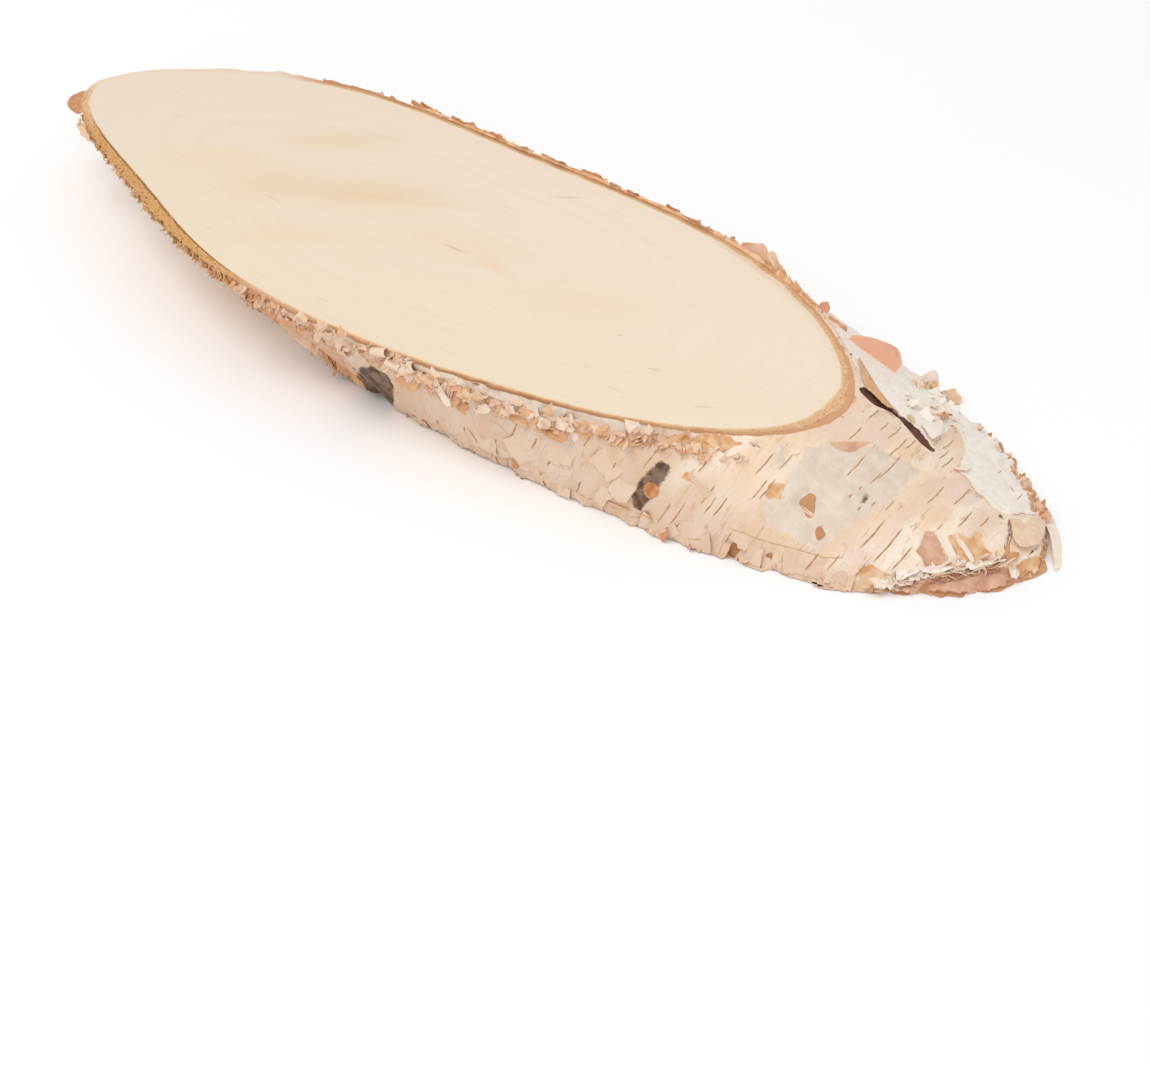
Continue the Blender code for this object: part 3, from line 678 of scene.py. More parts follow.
STAINS = (
    Stain(-77.0 * MM, 12.0 * MM, 26.0 * MM, 10.0 * MM, 42.0, "E9CDA2", 0.5),
    Stain(-48.0 * MM, -2.0 * MM, 36.0 * MM, 14.0 * MM, 38.0, "E8C899", 0.5),
    Stain(-50.0 * MM, -5.0 * MM, 18.0 * MM, 5.0 * MM, 34.0, "E4BE8D", 0.22),
    Stain(-69.0 * MM, -14.0 * MM, 20.0 * MM, 15.0 * MM, 60.0, "EACDA0", 0.45),
    Stain(-34.0 * MM, 5.0 * MM, 18.0 * MM, 2.6 * MM, 30.0, "E8C89B", 0.3),
    Stain(-88.0 * MM, -13.0 * MM, 24.0 * MM, 10.0 * MM, 42.0, "EAD2AB", 0.4),
    Stain(-42.0 * MM, -27.0 * MM, 28.0 * MM, 9.0 * MM, 42.0, "ECD4AC", 0.4),
    Stain(-12.0 * MM, -4.0 * MM, 30.0 * MM, 12.0 * MM, 20.0, "ECD4AD", 0.4),
    Stain(-10.0 * MM, -5.6 * MM, 4.6 * MM, 0.8 * MM, 5.0, "C6A27E", 0.5),
    Stain(4.0 * MM, -5.3 * MM, 10.0 * MM, 3.0 * MM, -5.0, "E8C5A2", 0.35),
    Stain(30.0 * MM, -4.0 * MM, 28.0 * MM, 15.0 * MM, 30.0, "F0D8AF", 0.4),
    Stain(46.4 * MM, -7.5 * MM, 1.0 * MM, 0.7 * MM, 40.0, "B99C7C", 0.6),
    Stain(-10.5 * MM, 32.0 * MM, 6.0 * MM, 0.9 * MM, 42.0, "C9B093", 0.45),
    Stain(62.0 * MM, -13.0 * MM, 3.0 * MM, 0.6 * MM, 30.0, "B9A284", 0.6),
    Stain(80.0 * MM, -17.0 * MM, 4.0 * MM, 0.7 * MM, 40.0, "CBB48F", 0.6),
)


@dataclass(frozen=True)
class SawnBirch(Finish):
    """Birch wood, sawn and lightly sanded: cream, with faint rings, soft ochre clouds and short pale streaks."""

    name: str = "sawn birch"
    roughness: float = 0.6
    left: str = "E9D8C6"
    right: str = "F2E1CB"
    warm: str = "F0DCBB"
    ring_line: str = "DFC197"
    pale_line: str = "F6E9D3"
    streak: str = "CFB08A"

    def make(self) -> bpy.types.Material:
        """Builds the material."""
        material, tree, shader = self.begin()
        place = add(tree, "ShaderNodeTexCoord").outputs["Object"]
        growth = add(tree, "ShaderNodeAttribute", attribute_name="growth").outputs["Fac"]
        split = add(tree, "ShaderNodeSeparateXYZ", {0: place})
        # Fibres look 2.6 times longer along the slice, because the log is sawn aslant
        stretched = add(tree, "ShaderNodeMapping", {0: place, 3: (1.0, 2.6, 1.0)}).outputs[0]
        clouds = add(tree, "ShaderNodeTexNoise", {"Vector": stretched, "Scale": 22.0, "Detail": 4.0}).outputs[0]
        to_right = add(tree, "ShaderNodeMapRange", {0: split.outputs[0], 1: -0.14, 2: 0.09}).outputs[0]
        # The yellower wood lies low on the near side and round the pith
        lower = add(tree, "ShaderNodeMapRange", {0: split.outputs[1], 1: 0.015, 2: -0.045}).outputs[0]
        warm = add(tree, "ShaderNodeMath", {0: lower, 1: clouds}, operation="MULTIPLY").outputs[0]
        # Growth rings, bent a little by noise, each a faint darker line with a pale one beside it
        bend = add(tree, "ShaderNodeTexNoise", {"Vector": stretched, "Scale": 30.0, "Detail": 3.0}).outputs[0]
        bent = add(tree, "ShaderNodeMath", {0: bend, 1: 0.12, 2: growth}, operation="MULTIPLY_ADD").outputs[0]
        rings = add(
            tree, "ShaderNodeTexNoise", {"W": bent, "Scale": 19.0, "Detail": 3.0}, noise_dimensions="1D"
        ).outputs[0]
        dark_ring = add(tree, "ShaderNodeMapRange", {0: rings, 1: 0.52, 2: 0.75, 3: 0.0, 4: 0.07}).outputs[0]
        pale_ring = add(tree, "ShaderNodeMapRange", {0: rings, 1: 0.42, 2: 0.30, 3: 0.0, 4: 0.09}).outputs[0]
        colour = self.overlaid(tree, self.left, [
            (to_right, self.right), (warm, self.warm), (dark_ring, self.ring_line), (pale_ring, self.pale_line)])
        for stain in STAINS:
            spot = add(
                tree, "ShaderNodeMapping",
                {0: place, 1: (stain.x, stain.y, 0.0209),
                 2: (0.0, 0.0, math.radians(stain.angle)), 3: (stain.half_length, stain.half_width, 1.0)},
                vector_type="TEXTURE",
            ).outputs[0]
            away = add(tree, "ShaderNodeVectorMath", {0: spot}, operation="LENGTH").outputs["Value"]
            rough = add(tree, "ShaderNodeMath", {0: bend, 1: 0.9, 2: away}, operation="MULTIPLY_ADD").outputs[0]
            part = add(
                tree, "ShaderNodeMapRange", {0: rough, 1: 1.45, 2: 0.35, 3: 0.0, 4: stain.strength},
                interpolation_type="SMOOTHSTEP",
            ).outputs[0]
            colour = self.overlaid(tree, colour, [(part, stain.colour)])
        # Short streaks: some along the fibres, and saw marks at 45 degrees across them
        streaks = None
        for turned, most in ((0.0, 0.26), (45.0, 0.12)):
            thin = add(
                tree, "ShaderNodeMapping", {0: place, 2: (0.0, 0.0, math.radians(-turned)), 3: (90.0, 900.0, 90.0)}
            ).outputs[0]
            streaks = add(tree, "ShaderNodeTexNoise", {"Vector": thin, "Scale": 1.0, "Detail": 2.0}).outputs[0]
            part = add(tree, "ShaderNodeMapRange", {0: streaks, 1: 0.64, 2: 0.80, 3: 0.0, 4: most}).outputs[0]
            colour = self.overlaid(tree, colour, [(part, self.streak)])
        self.end(tree, shader, colour, streaks, 0.00005)
        return material


@dataclass(frozen=True)
class CutBast(Finish):
    """Inner bark where it is cut: tan bands with a thin brown line, grainy and darker where it is frayed."""

    name: str = "cut bast"
    roughness: float = 0.85
    cambium: str = "F0D6AC"
    tan: str = "DFB083"
    light: str = "EBC298"
    line: str = "B07A50"
    outer: str = "D9A67C"
    frayed: str = "D8A66B"
    frayed_dark: str = "A8703D"
    bleached: str = "EBDAC6"

    def make(self) -> bpy.types.Material:
        """Builds the material."""
        material, tree, shader = self.begin()
        place = add(tree, "ShaderNodeTexCoord").outputs["Object"]
        across = add(tree, "ShaderNodeAttribute", attribute_name="across").outputs["Fac"]
        frayed = add(tree, "ShaderNodeAttribute", attribute_name="frayed").outputs["Fac"]
        front = add(tree, "ShaderNodeAttribute", attribute_name="front").outputs["Fac"]
        pale = add(tree, "ShaderNodeAttribute", attribute_name="pale").outputs["Fac"]
        # Grains 0.5 mm across, and stretches some 6 mm long that bend the bands
        grains = add(tree, "ShaderNodeTexNoise", {"Vector": place, "Scale": 1500.0, "Detail": 3.0}).outputs[0]
        stretches = add(tree, "ShaderNodeTexNoise", {"Vector": place, "Scale": 160.0, "Detail": 4.0}).outputs[0]
        bent = add(tree, "ShaderNodeMath", {0: stretches, 1: 0.5, 2: across}, operation="MULTIPLY_ADD").outputs[0]
        inner = add(tree, "ShaderNodeMapRange", {0: bent, 1: 0.50, 2: 0.34}).outputs[0]
        outer = add(tree, "ShaderNodeMapRange", {0: bent, 1: 0.88, 2: 0.98}).outputs[0]
        beside = add(tree, "ShaderNodeMath", {0: bent, 1: 0.90, 2: 0.045}, operation="COMPARE").outputs[0]
        patchy = add(tree, "ShaderNodeMapRange", {0: stretches, 1: 0.50, 2: 0.60, 3: 0.0, 4: 0.5}).outputs[0]
        line = add(tree, "ShaderNodeMath", {0: beside, 1: patchy}, operation="MULTIPLY").outputs[0]
        # Painted shade: the ring's outer part darkened towards the bark where the front attribute is set
        rim = add(tree, "ShaderNodeMapRange", {0: bent, 1: 0.45, 2: 0.90, 3: 0.0, 4: 1.0}).outputs[0]
        rim = add(tree, "ShaderNodeMath", {0: rim, 1: front}, operation="MULTIPLY").outputs[0]
        mottle = add(tree, "ShaderNodeMapRange", {0: grains, 1: 0.42, 2: 0.58, 3: 0.0, 4: 0.7}).outputs[0]
        dark_grain = add(tree, "ShaderNodeMapRange", {0: grains, 1: 0.46, 2: 0.34}).outputs[0]
        specks = add(tree, "ShaderNodeMapRange", {0: grains, 1: 0.40, 2: 0.30, 3: 0.0, 4: 0.6}).outputs[0]
        rough = self.overlaid(tree, self.frayed, [(dark_grain, self.frayed_dark)])
        colour = self.overlaid(tree, self.tan, [
            (mottle, self.light), (specks, self.line), (inner, self.cambium), (outer, self.outer), (line, self.line),
            (rim, self.line), (pale, self.bleached), (frayed, rough)])
        # The dark line between the wood and the frayed band
        edge = add(tree, "ShaderNodeMath", {0: across, 1: 0.16, 2: 0.06}, operation="COMPARE").outputs[0]
        edge = add(tree, "ShaderNodeMath", {0: edge, 1: frayed}, operation="MULTIPLY").outputs[0]
        colour = self.overlaid(tree, colour, [(edge, "96683F")])
        self.end(tree, shader, colour, grains, 0.00025)
        return material


@dataclass(frozen=True)
class PaperBark(Finish):
    """Birch's papery outer bark: peach, cream and beige sheets, torn patches of other layers, and dark knots."""

    name: str = "papery birch bark"
    roughness: float = 0.7
    cream: str = "F6E5D1"
    peach: str = "EFD2B4"
    beige: str = "E1C9B4"
    tan: str = "DBBA9A"
    flush: str = "E6C6B4"
    sheet_line: str = "C99F80"
    # For each torn patch: its layer, a deep and a light colour, how far its edge wanders and how soft it is, in mm
    patch_colours: tuple = (
        (Layer.CHALK, "F2E5D9", "F7EEE5", 0.8, 0.12),
        (Layer.GREY, "DFCCBA", "E7D5C4", 2.6, 0.9),
        (Layer.PINK, "D5A387", "E2B89B", 0.8, 0.12),
        (Layer.BAST, "D8A272", "EBC59C", 0.8, 0.12),
        (Layer.SOOT, "5C4433", "8C7160", 1.2, 0.5),
        # The crack's colours: brown inner bark darkened with painted shade
        (Layer.GAP, "55302A", "70443A", 1.0, 0.15),
    )

    def make(self) -> bpy.types.Material:
        """Builds the material."""
        material, tree, shader = self.begin()
        place = add(tree, "ShaderNodeAttribute", attribute_name="log_place").outputs["Vector"]
        tone = add(tree, "ShaderNodeAttribute", attribute_name="tone").outputs["Fac"]
        # Sheets about 7 mm along the log and 20 mm round it; the place is in millimetres
        sheets = add(tree, "ShaderNodeMapping", {0: place, 3: (0.05, 0.05, 0.14)}).outputs[0]
        broad = add(tree, "ShaderNodeTexNoise", {"Vector": sheets, "Scale": 1.0, "Detail": 5.0})
        # Edges of single sheets: thin lines some 0.3 mm wide where a stretched noise passes its middle
        lines = add(tree, "ShaderNodeMapping", {0: place, 3: (0.04, 0.04, 0.42)}).outputs[0]
        fine = add(tree, "ShaderNodeTexNoise", {"Vector": lines, "Scale": 1.0, "Detail": 3.0})
        edge = add(tree, "ShaderNodeTexNoise", {"Vector": place, "Scale": 1.3, "Detail": 4.0}).outputs[0]
        crumple = add(tree, "ShaderNodeTexNoise", {"Vector": place, "Scale": 0.42, "Detail": 5.0}).outputs[0]
        part = add(tree, "ShaderNodeMapRange", {0: broad.outputs[0], 1: 0.38, 2: 0.62}).outputs[0]
        hues = add(tree, "ShaderNodeSeparateColor", {0: broad.outputs[1]})
        blush = add(tree, "ShaderNodeMapRange", {0: hues.outputs[2], 1: 0.50, 2: 0.62, 3: 0.0, 4: 0.6}).outputs[0]
        amber = add(tree, "ShaderNodeMapRange", {0: hues.outputs[1], 1: 0.54, 2: 0.66, 3: 0.0, 4: 0.55}).outputs[0]
        line = add(tree, "ShaderNodeMath", {0: fine.outputs[0], 1: 0.52, 2: 0.016}, operation="COMPARE").outputs[0]
        shown = add(tree, "ShaderNodeMapRange", {0: crumple, 1: 0.47, 2: 0.62, 3: 0.0, 4: 0.6}).outputs[0]
        line = add(tree, "ShaderNodeMath", {0: line, 1: shown}, operation="MULTIPLY").outputs[0]
        warm = self.overlaid(tree, self.cream, [(part, self.peach), (amber, "EBC59C")])
        dull = self.overlaid(tree, self.beige, [(part, self.tan), (amber, "DDB896")])
        colour = self.overlaid(tree, warm, [(tone, dull), (blush, self.flush), (line, self.sheet_line)])
        mixed = add(tree, "ShaderNodeMapRange", {0: crumple, 1: 0.40, 2: 0.60}).outputs[0]
        for layer, deep, light, wander, soft in self.patch_colours:
            depth = add(tree, "ShaderNodeAttribute", attribute_name=layer.value).outputs["Fac"]
            # The interpolated outline gets a torn edge from noise finer than the mesh
            moved = add(tree, "ShaderNodeMath", {0: edge, 1: wander, 2: depth}, operation="MULTIPLY_ADD").outputs[0]
            inside = add(tree, "ShaderNodeMapRange", {0: moved, 1: 0.5 * wander - 0.06, 2: 0.5 * wander + soft})
            colour = self.overlaid(
                tree, colour, [(inside.outputs[0], self.overlaid(tree, deep, [(mixed, light)]))])
        height = add(tree, "ShaderNodeMath", {0: crumple, 1: 2.0, 2: edge}, operation="MULTIPLY_ADD").outputs[0]
        self.end(tree, shader, colour, height, 0.0003)
        return material


@dataclass(frozen=True)
class PeeledPaper(Finish):
    """A loose sheet of bark: cream outside, orange-tan on the side that faced the log."""

    name: str = "peeled birch paper"
    roughness: float = 0.7
    # Each side's colour at tint 0, 0.45, 0.8 and 1: pale, ochre, brown and pink
    outside: tuple[str, ...] = ("F7EDE3", "EDD0B3", "DDB291", "E6BDA2")
    inside: tuple[str, ...] = ("F2DABB", "E2B285", "CB9263", "E4AE92")

    def make(self) -> bpy.types.Material:
        """Builds the material."""
        material, tree, shader = self.begin()
        place = add(tree, "ShaderNodeTexCoord").outputs["Object"]
        inner = add(tree, "ShaderNodeAttribute", attribute_name="inner").outputs["Fac"]
        tint = add(tree, "ShaderNodeAttribute", attribute_name="tint").outputs["Fac"]
        mottle = add(tree, "ShaderNodeTexNoise", {"Vector": place, "Scale": 500.0, "Detail": 3.0}).outputs[0]
        mixed = add(tree, "ShaderNodeMath", {0: mottle, 1: 0.5, 2: tint}, operation="MULTIPLY_ADD").outputs[0]
        ochre = add(tree, "ShaderNodeMapRange", {0: mixed, 1: 0.25, 2: 0.70}).outputs[0]
        brown = add(tree, "ShaderNodeMapRange", {0: mixed, 1: 0.75, 2: 1.05}).outputs[0]
        pink = add(tree, "ShaderNodeMapRange", {0: mixed, 1: 1.08, 2: 1.2}).outputs[0]
        sides = [
            self.overlaid(tree, side[0], [(ochre, side[1]), (brown, side[2]), (pink, side[3])])
            for side in (self.outside, self.inside)]
        self.end(tree, shader, self.overlaid(tree, sides[0], [(inner, sides[1])]), mottle, 0.0001)
        return material


@dataclass(frozen=True)
class PlainFinish(Finish):
    """One colour with a fine mottle of a second one, for small corky parts and the floor."""

    colour: str = "B88A62"
    mottle: str = "9C6F4C"
    grit: float = 1200.0

    def make(self) -> bpy.types.Material:
        """Builds the material."""
        material, tree, shader = self.begin()
        place = add(tree, "ShaderNodeTexCoord").outputs["Object"]
        noise = add(tree, "ShaderNodeTexNoise", {"Vector": place, "Scale": self.grit, "Detail": 2.0}).outputs[0]
        part = add(tree, "ShaderNodeMapRange", {0: noise, 1: 0.4, 2: 0.6}).outputs[0]
        self.end(tree, shader, self.overlaid(tree, self.colour, [(part, self.mottle)]))
        return material


@dataclass
class SawnBody:
    """The wood between the two sawn faces, with the rings' places stored on it."""

    side: LogSide
    turns: int = 360
    rings: int = 30
    pith: Place = (1.8 * MM, -2.1 * MM)
    # How wide the bark's ring is on the sawn face, level and in millimetres, at some turns
    ring_width: tuple[Place, ...] = (
        (0, 5.2), (8, 4.9), (13, 3.5), (20, 2.6), (28, 2.1), (38, 1.8), (60, 2.0), (90, 2.2), (150, 2.0), (180, 1.6),
        (210, 1.5), (226, 1.2), (264, 1.1), (275, 1.5), (298, 1.7), (306, 2.2), (320, 1.7), (332, 2.2), (348, 3.6),
        (354, 4.2), (360, 5.2),
    )

    def edge(self, turn: Array, share: float, extra: float = 0.0) -> Array:
        """The wood's outline on a sawn face, or a line that much further in."""
        stops, widths = zip(*self.ring_width)
        level = self.side.axes(turn, share)[2][..., :2]
        level = level / np.linalg.norm(level, axis=-1, keepdims=True)
        width = np.interp(turn % 360.0, stops, widths) * MM + 0.15 * MM * Noise(12).along(turn, 0.25) + extra
        points = self.side.point(turn, share)
        points[..., :2] -= level * width[..., None]
        return points

    def build(self) -> bpy.types.Object:
        """Builds the body as rings of points over the top face, down the side and under the bottom face."""
        turn = np.linspace(0.0, 360.0, self.turns, endpoint=False)
        parts = np.linspace(0.0, 1.0, self.rings + 1)[1:]
        loops, growth = [], []
        for share, order in ((0.0, parts), (1.0, parts[::-1])):
            edge = self.edge(turn, share)
            centre = self._pith_point(share)
            for part in order:
                loops.append(centre + (edge - centre) * part)
                growth.append(np.full(self.turns, part))
        points = np.concatenate([*loops, [self._pith_point(0.0)], [self._pith_point(1.0)]])
        faces = grid_faces(len(loops), self.turns, True)
        top, bottom = len(points) - 2, len(points) - 1
        last = (len(loops) - 1) * self.turns
        for i in range(self.turns):
            after = (i + 1) % self.turns
            faces.append((top, i, after))
            faces.append((bottom, last + after, last + i))
        thing = mesh_object("sawn_wood", points, faces, SawnBirch().make())
        store(thing, "growth", np.concatenate([*growth, [0.0, 0.0]]))
        return facing_out(thing)

    def _pith_point(self, share: float) -> Array:
        """The middle of the growth rings on a sawn face."""
        x = self.pith[0] + self.side.lean[0] * share - self.side.middle[0]
        y = self.pith[1] + self.side.lean[1] * share - self.side.middle[1]
        return np.array([x, y, self.side.thickness * (1.0 - share)])


@dataclass
class BastRing:
    """The ring of inner bark: banded where it is cut, frayed on the left, and hidden under the paper."""

    relief: BarkRelief
    wood: SawnBody
    turns: int = 1100
    rows: int = 9
    under_paper: float = 0.6 * MM
    grain: float = 0.07 * MM
    frayed_grain: float = 0.35 * MM

    def build(self) -> bpy.types.Object:
        """Builds the ring as loops over its top, down its outside, under it and up its inside."""
        side = self.relief.side
        turn = np.linspace(0.0, 360.0, self.turns, endpoint=False)
        frayed = bell(turn, self.relief.frayed_turn, self.relief.frayed_spread)
        loops, across = [], []
        for share, order in ((0.0, np.linspace(0.0, 1.0, self.rows)), (1.0, np.linspace(1.0, 0.0, self.rows))):
            inner = self.wood.edge(turn, share, 0.1 * MM)
            outer = self._outer(turn, share)
            for part in order:
                loop = inner + (outer - inner) * part
                rough = Noise(21).layered(loop / (0.8 * MM), 2) * (self.grain + self.frayed_grain * frayed)
                loop[:, 2] += (rough - 0.08 * MM) * min(1.0, 4.0 * part) * (1.0 - share) - 0.1 * MM * (part == 0.0)
                loops.append(np.maximum(loop, (-1.0, -1.0, 0.02 * MM)))
                across.append(np.full(self.turns, part))
            if share == 0.0:
                for inset in (0.04, 0.96):
                    point = side.point(turn, inset) - side.axes(turn, inset)[2] * self.under_paper
                    loops.append(point)
                    across.append(np.full(self.turns, 1.0))
        thing = closed_tube("bast_ring", loops, CutBast().make())
        store(thing, "across", np.concatenate(across))
        store(thing, "frayed", np.tile(smooth_step(frayed, 0.25, 0.6), len(loops)))
        # Painted shade on the ring's outer part, on the near and far sides
        shaded = np.maximum(bell(turn, 306.0, 38.0), bell(turn, 95.0, 50.0))
        store(thing, "front", np.tile(shaded, len(loops)))
        store(thing, "pale", np.tile(0.85 * smooth_step(np.abs(turn_between(turn, 165.0)), 32.0, 20.0), len(loops)))
        return thing

    def _outer(self, turn: Array, share: float) -> Array:
        """The ring's outline on a sawn face, a paper's thickness inside the bark's surface."""
        out = self.relief.side.axes(turn, share)[2]
        level = np.linalg.norm(out[:, :2], axis=-1, keepdims=True)
        height = self.relief.height(turn, np.full(len(turn), share)) - (0.25 * MM if share == 0.0 else 0.5 * MM)
        point = self.relief.side.point(turn, share)
        point[:, :2] += out[:, :2] / level * height[:, None] / level
        return point


@dataclass
class PaperSheet:
    """The papery bark round the slice, as one closed sheet with torn edges."""

    relief: BarkRelief
    turns: int = 1060
    rows: int = 90
    inner_depth: float = 0.75 * MM

    def sampled_turns(self) -> Array:
        """Turns round the slice, closer together at the right end and on the near side."""
        fine = np.linspace(0.0, 360.0, 3601)
        steps = np.linalg.norm(np.diff(self.relief.side.point(fine, 0.5), axis=0), axis=1)
        steps = steps * (0.6 + 1.4 * bell(fine[:-1], 0.0, 50.0) + 1.0 * bell(fine[:-1], 305.0, 45.0))
        length = np.concatenate([[0.0], np.cumsum(steps)])
        return np.interp(np.linspace(0.0, length[-1], self.turns, endpoint=False), length, fine)

    def edges(self, turn: Array) -> tuple[Array, Array]:
        """Where the sheet's top and bottom edges lie, as shares of the side."""
        ring = self.relief.side.point(turn, 0.5) / MM
        tears = np.abs(Noise(31).layered(ring / 4.0, 3))
        notches = np.abs(Noise(32).layered(ring / 3.0, 3))
        frayed = bell(turn, self.relief.frayed_turn, self.relief.frayed_spread)
        return 0.004 + 0.012 * tears + 0.02 * frayed * notches, 0.992 - 0.07 * notches

    def build(self) -> bpy.types.Object:
        """Builds the sheet's outside, its two edges and its inside."""
        side = self.relief.side
        turn = self.sampled_turns()
        top, bottom = self.edges(turn)
        share = top + (bottom - top) * np.linspace(0.0, 1.0, self.rows)[:, None]
        share = np.concatenate([share, [bottom], [top]])
        grid_turn = np.broadcast_to(turn, share.shape)
        height, layers = self.relief.read(grid_turn, share)
        height = height.reshape(share.shape)
        height[-2:] = -self.inner_depth
        points = side.point(grid_turn, share) + side.axes(grid_turn, share)[2] * height[..., None]
        points[..., 2] = np.clip(points[..., 2], 0.05 * MM, None)
        points[-2:, :, 2] = np.clip(points[-2:, :, 2], None, side.thickness - 0.1 * MM)
        thing = closed_tube("paper_bark", list(points), PaperBark().make())
        for layer, depth in layers.items():
            store(thing, layer.value, depth)
        store(thing, "tone", self.relief.tone(grid_turn, share).ravel())
        store(thing, "log_place", side.grain_place(side.point(grid_turn, share)).reshape(-1, 3) / MM)
        return thing


@dataclass(frozen=True)
class Peel:
    """A loose strip of bark that curls: its root, size, lift from the bark and curl.

    heading is 0 up the bark and 90 towards the next turn. cup bends its two sides up, tint is 0 pale to 1 deep,
    bare turns the side that faced the log outward, and base is the bark's height at its root where it is known.
    """

    turn: float
    share: float
    heading: float
    width: float
    length: float
    lift: float
    curl: float
    tip: float = 0.5
    cup: float = 0.0
    tint: float = 0.4
    ragged: float = 0.4
    bare: bool = False
    base: float | None = None

    def profile(self, rows: int, columns: int, seed: int) -> Array:
        """Its middle surface before it is placed: how far each point lies across, ahead and out."""
        root = 0.6 * MM
        ratio = np.linspace(0.0, 1.0, rows)
        rise = np.radians(self.lift + self.curl * ratio)
        step = (self.length + root) / (rows - 1)
        ahead = -root + np.concatenate([[0.0], np.cumsum(np.cos(rise[:-1]) * step)])
        out = -0.2 * MM + np.concatenate([[0.0], np.cumsum(np.sin(rise[:-1]) * step)])
        place = np.linspace(-1.0, 1.0, columns)
        noise = Noise(seed)
        half = 0.5 * self.width * (1.0 + (self.tip - 1.0) * ratio**1.4)
        half = half * (1.0 + 0.5 * self.ragged * noise.along(ratio, 3.0, 2))
        ends = 1.0 - self.ragged * (0.5 + 0.5 * noise.along(place, 2.5, 3, 7.0))
        bend = noise.layered(np.stack(np.broadcast_arrays(ratio[:, None] * 2.0, place * 1.5, 3.3), -1), 2)
        taken = np.clip(ratio[:, None] * ends, 0.0, 1.0)
        along, height = np.interp(taken, ratio, ahead), np.interp(taken, ratio, out)
        height = height + (self.cup * place**2 + 0.12 * self.width * self.ragged * bend) * ratio[:, None]
        return np.stack([half[:, None] * place, along, height], -1)

    def grid(self, relief: BarkRelief, seed: int) -> Array:
        """Its points on the bark."""
        shape = self.profile(8 + int(abs(self.curl) / 22.0), 9, seed)
        angle = math.radians(self.heading)
        level = shape[..., 1] * math.sin(angle) + shape[..., 0] * math.cos(angle)
        up = shape[..., 1] * math.cos(angle) - shape[..., 0] * math.sin(angle)
        turn, share = np.full(level.shape, self.turn), np.full(level.shape, self.share)
        turn, share = relief.side.stepped(turn, share, level, up)
        base = relief.height(self.turn, self.share) if self.base is None else self.base
        height = base + shape[..., 2]
        return relief.side.point(turn, share) + relief.side.axes(turn, share)[2] * height[..., None]


@dataclass(frozen=True)
class Flap:
    """A loose sheet between a line where it leaves the bark and the line where it ends.

    Its root is turns and shares, its tip turns, shares and millimetres out; arch is how far its middle bulges.
    """

    root: tuple[Place, ...]
    tip: tuple[tuple[float, float, float], ...]
    arch: float = 0.3 * MM
    tint: float = 0.5
    ragged: float = 0.2
    bare: bool = False

    def grid(self, relief: BarkRelief, seed: int) -> Array:
        """Its points on the bark."""
        across = np.linspace(0.0, 1.0, 21)
        ratio = np.linspace(0.0, 1.0, 11)[:, None]
        lines = []
        for stops in (np.array(self.root, float), np.array(self.tip, float)):
            knots = np.linspace(0.0, 1.0, len(stops))
            line = np.array([np.interp(across, knots, column) for column in stops.T])
            for _ in range(4):
                line[:, 1:-1] = (line[:, :-2] + 2.0 * line[:, 1:-1] + line[:, 2:]) / 4.0
            lines.append(line)
        root = relief.surface(*lines[0], np.full(len(across), -0.25 * MM))
        tip = relief.surface(lines[1][0], lines[1][1], lines[1][2] * MM)
        noise = Noise(seed)
        torn = 1.0 - self.ragged * (0.5 + 0.5 * noise.along(across, 7.0))
        torn = torn * (1.0 - 0.25 * np.abs(2.0 * across - 1.0) ** 6)
        part = (ratio * torn)[..., None]
        grid = root * (1.0 - part) + tip * part
        out = relief.side.axes(*lines[0])[2]
        crumple = noise.layered(np.stack(np.broadcast_arrays(across * 3.0, ratio * 2.0, 0.5), -1), 2)
        width = np.linalg.norm(root[-1] - root[0])
        bulge = self.arch * 4.0 * part[..., 0] * (1.0 - part[..., 0]) + 0.05 * width * crumple * ratio
        sideways = (root[-1] - root[0]) * (0.12 * self.ragged * noise.along(ratio, 5.0, 3, 4.0) * ratio)[..., None]
        return grid + out * bulge[..., None] + sideways


@dataclass(frozen=True)
class Frill:
    """A row of small torn peels along a line on the bark; sizes are in millimetres, angles in degrees."""

    places: tuple[Place, ...]
    count: int
    heading: float
    spread: float
    width: Place
    length: Place
    lift: Place
    curl: Place
    tint: Place
    bare: float = 0.5
    jitter: float = 0.8
    tip: Place = (0.1, 0.8)
    ragged: float = 0.7
    off_knots: bool = False

    def peels(self, relief: BarkRelief, seed: int) -> list[Peel]:
        """Draws the row's peels."""
        draw = np.random.default_rng(seed)
        line = relief.side.rolled_line(self.places)
        length = np.concatenate([[0.0], np.cumsum(np.linalg.norm(np.diff(line, axis=0), axis=1))])
        part = (np.arange(self.count) + draw.uniform(0.0, 1.0, self.count)) / self.count * length[-1]
        around, along = (np.interp(part, length, column) for column in line.T)
        step = draw.normal(0.0, self.jitter * MM, (2, self.count))
        turn, share = relief.side.rolled_back(around + step[0], along + step[1])
        base = relief.height(turn, share)
        result = []
        for number in range(self.count):
            result.append(Peel(
                float(turn[number]), float(share[number]), self.heading + draw.normal(0.0, self.spread),
                draw.uniform(*self.width) * MM, draw.uniform(*self.length) * MM, draw.uniform(*self.lift),
                draw.uniform(*self.curl), draw.uniform(*self.tip), draw.uniform(-0.3, 0.4) * MM,
                draw.uniform(*self.tint), self.ragged, bool(draw.random() < self.bare), float(base[number]),
            ))
        if not self.off_knots:
            return result
        heading = np.radians([peel.heading for peel in result])
        reach = np.array([peel.length for peel in result])
        dark = []
        for part in (0.0, 0.5, 1.0):
            ahead = relief.side.stepped(turn, share, np.sin(heading) * reach * part, np.cos(heading) * reach * part)
            dark.append(relief.read(*ahead)[1][Layer.SOOT])
        return [peel for peel, depth in zip(result, np.max(dark, axis=0)) if depth < -2.0]


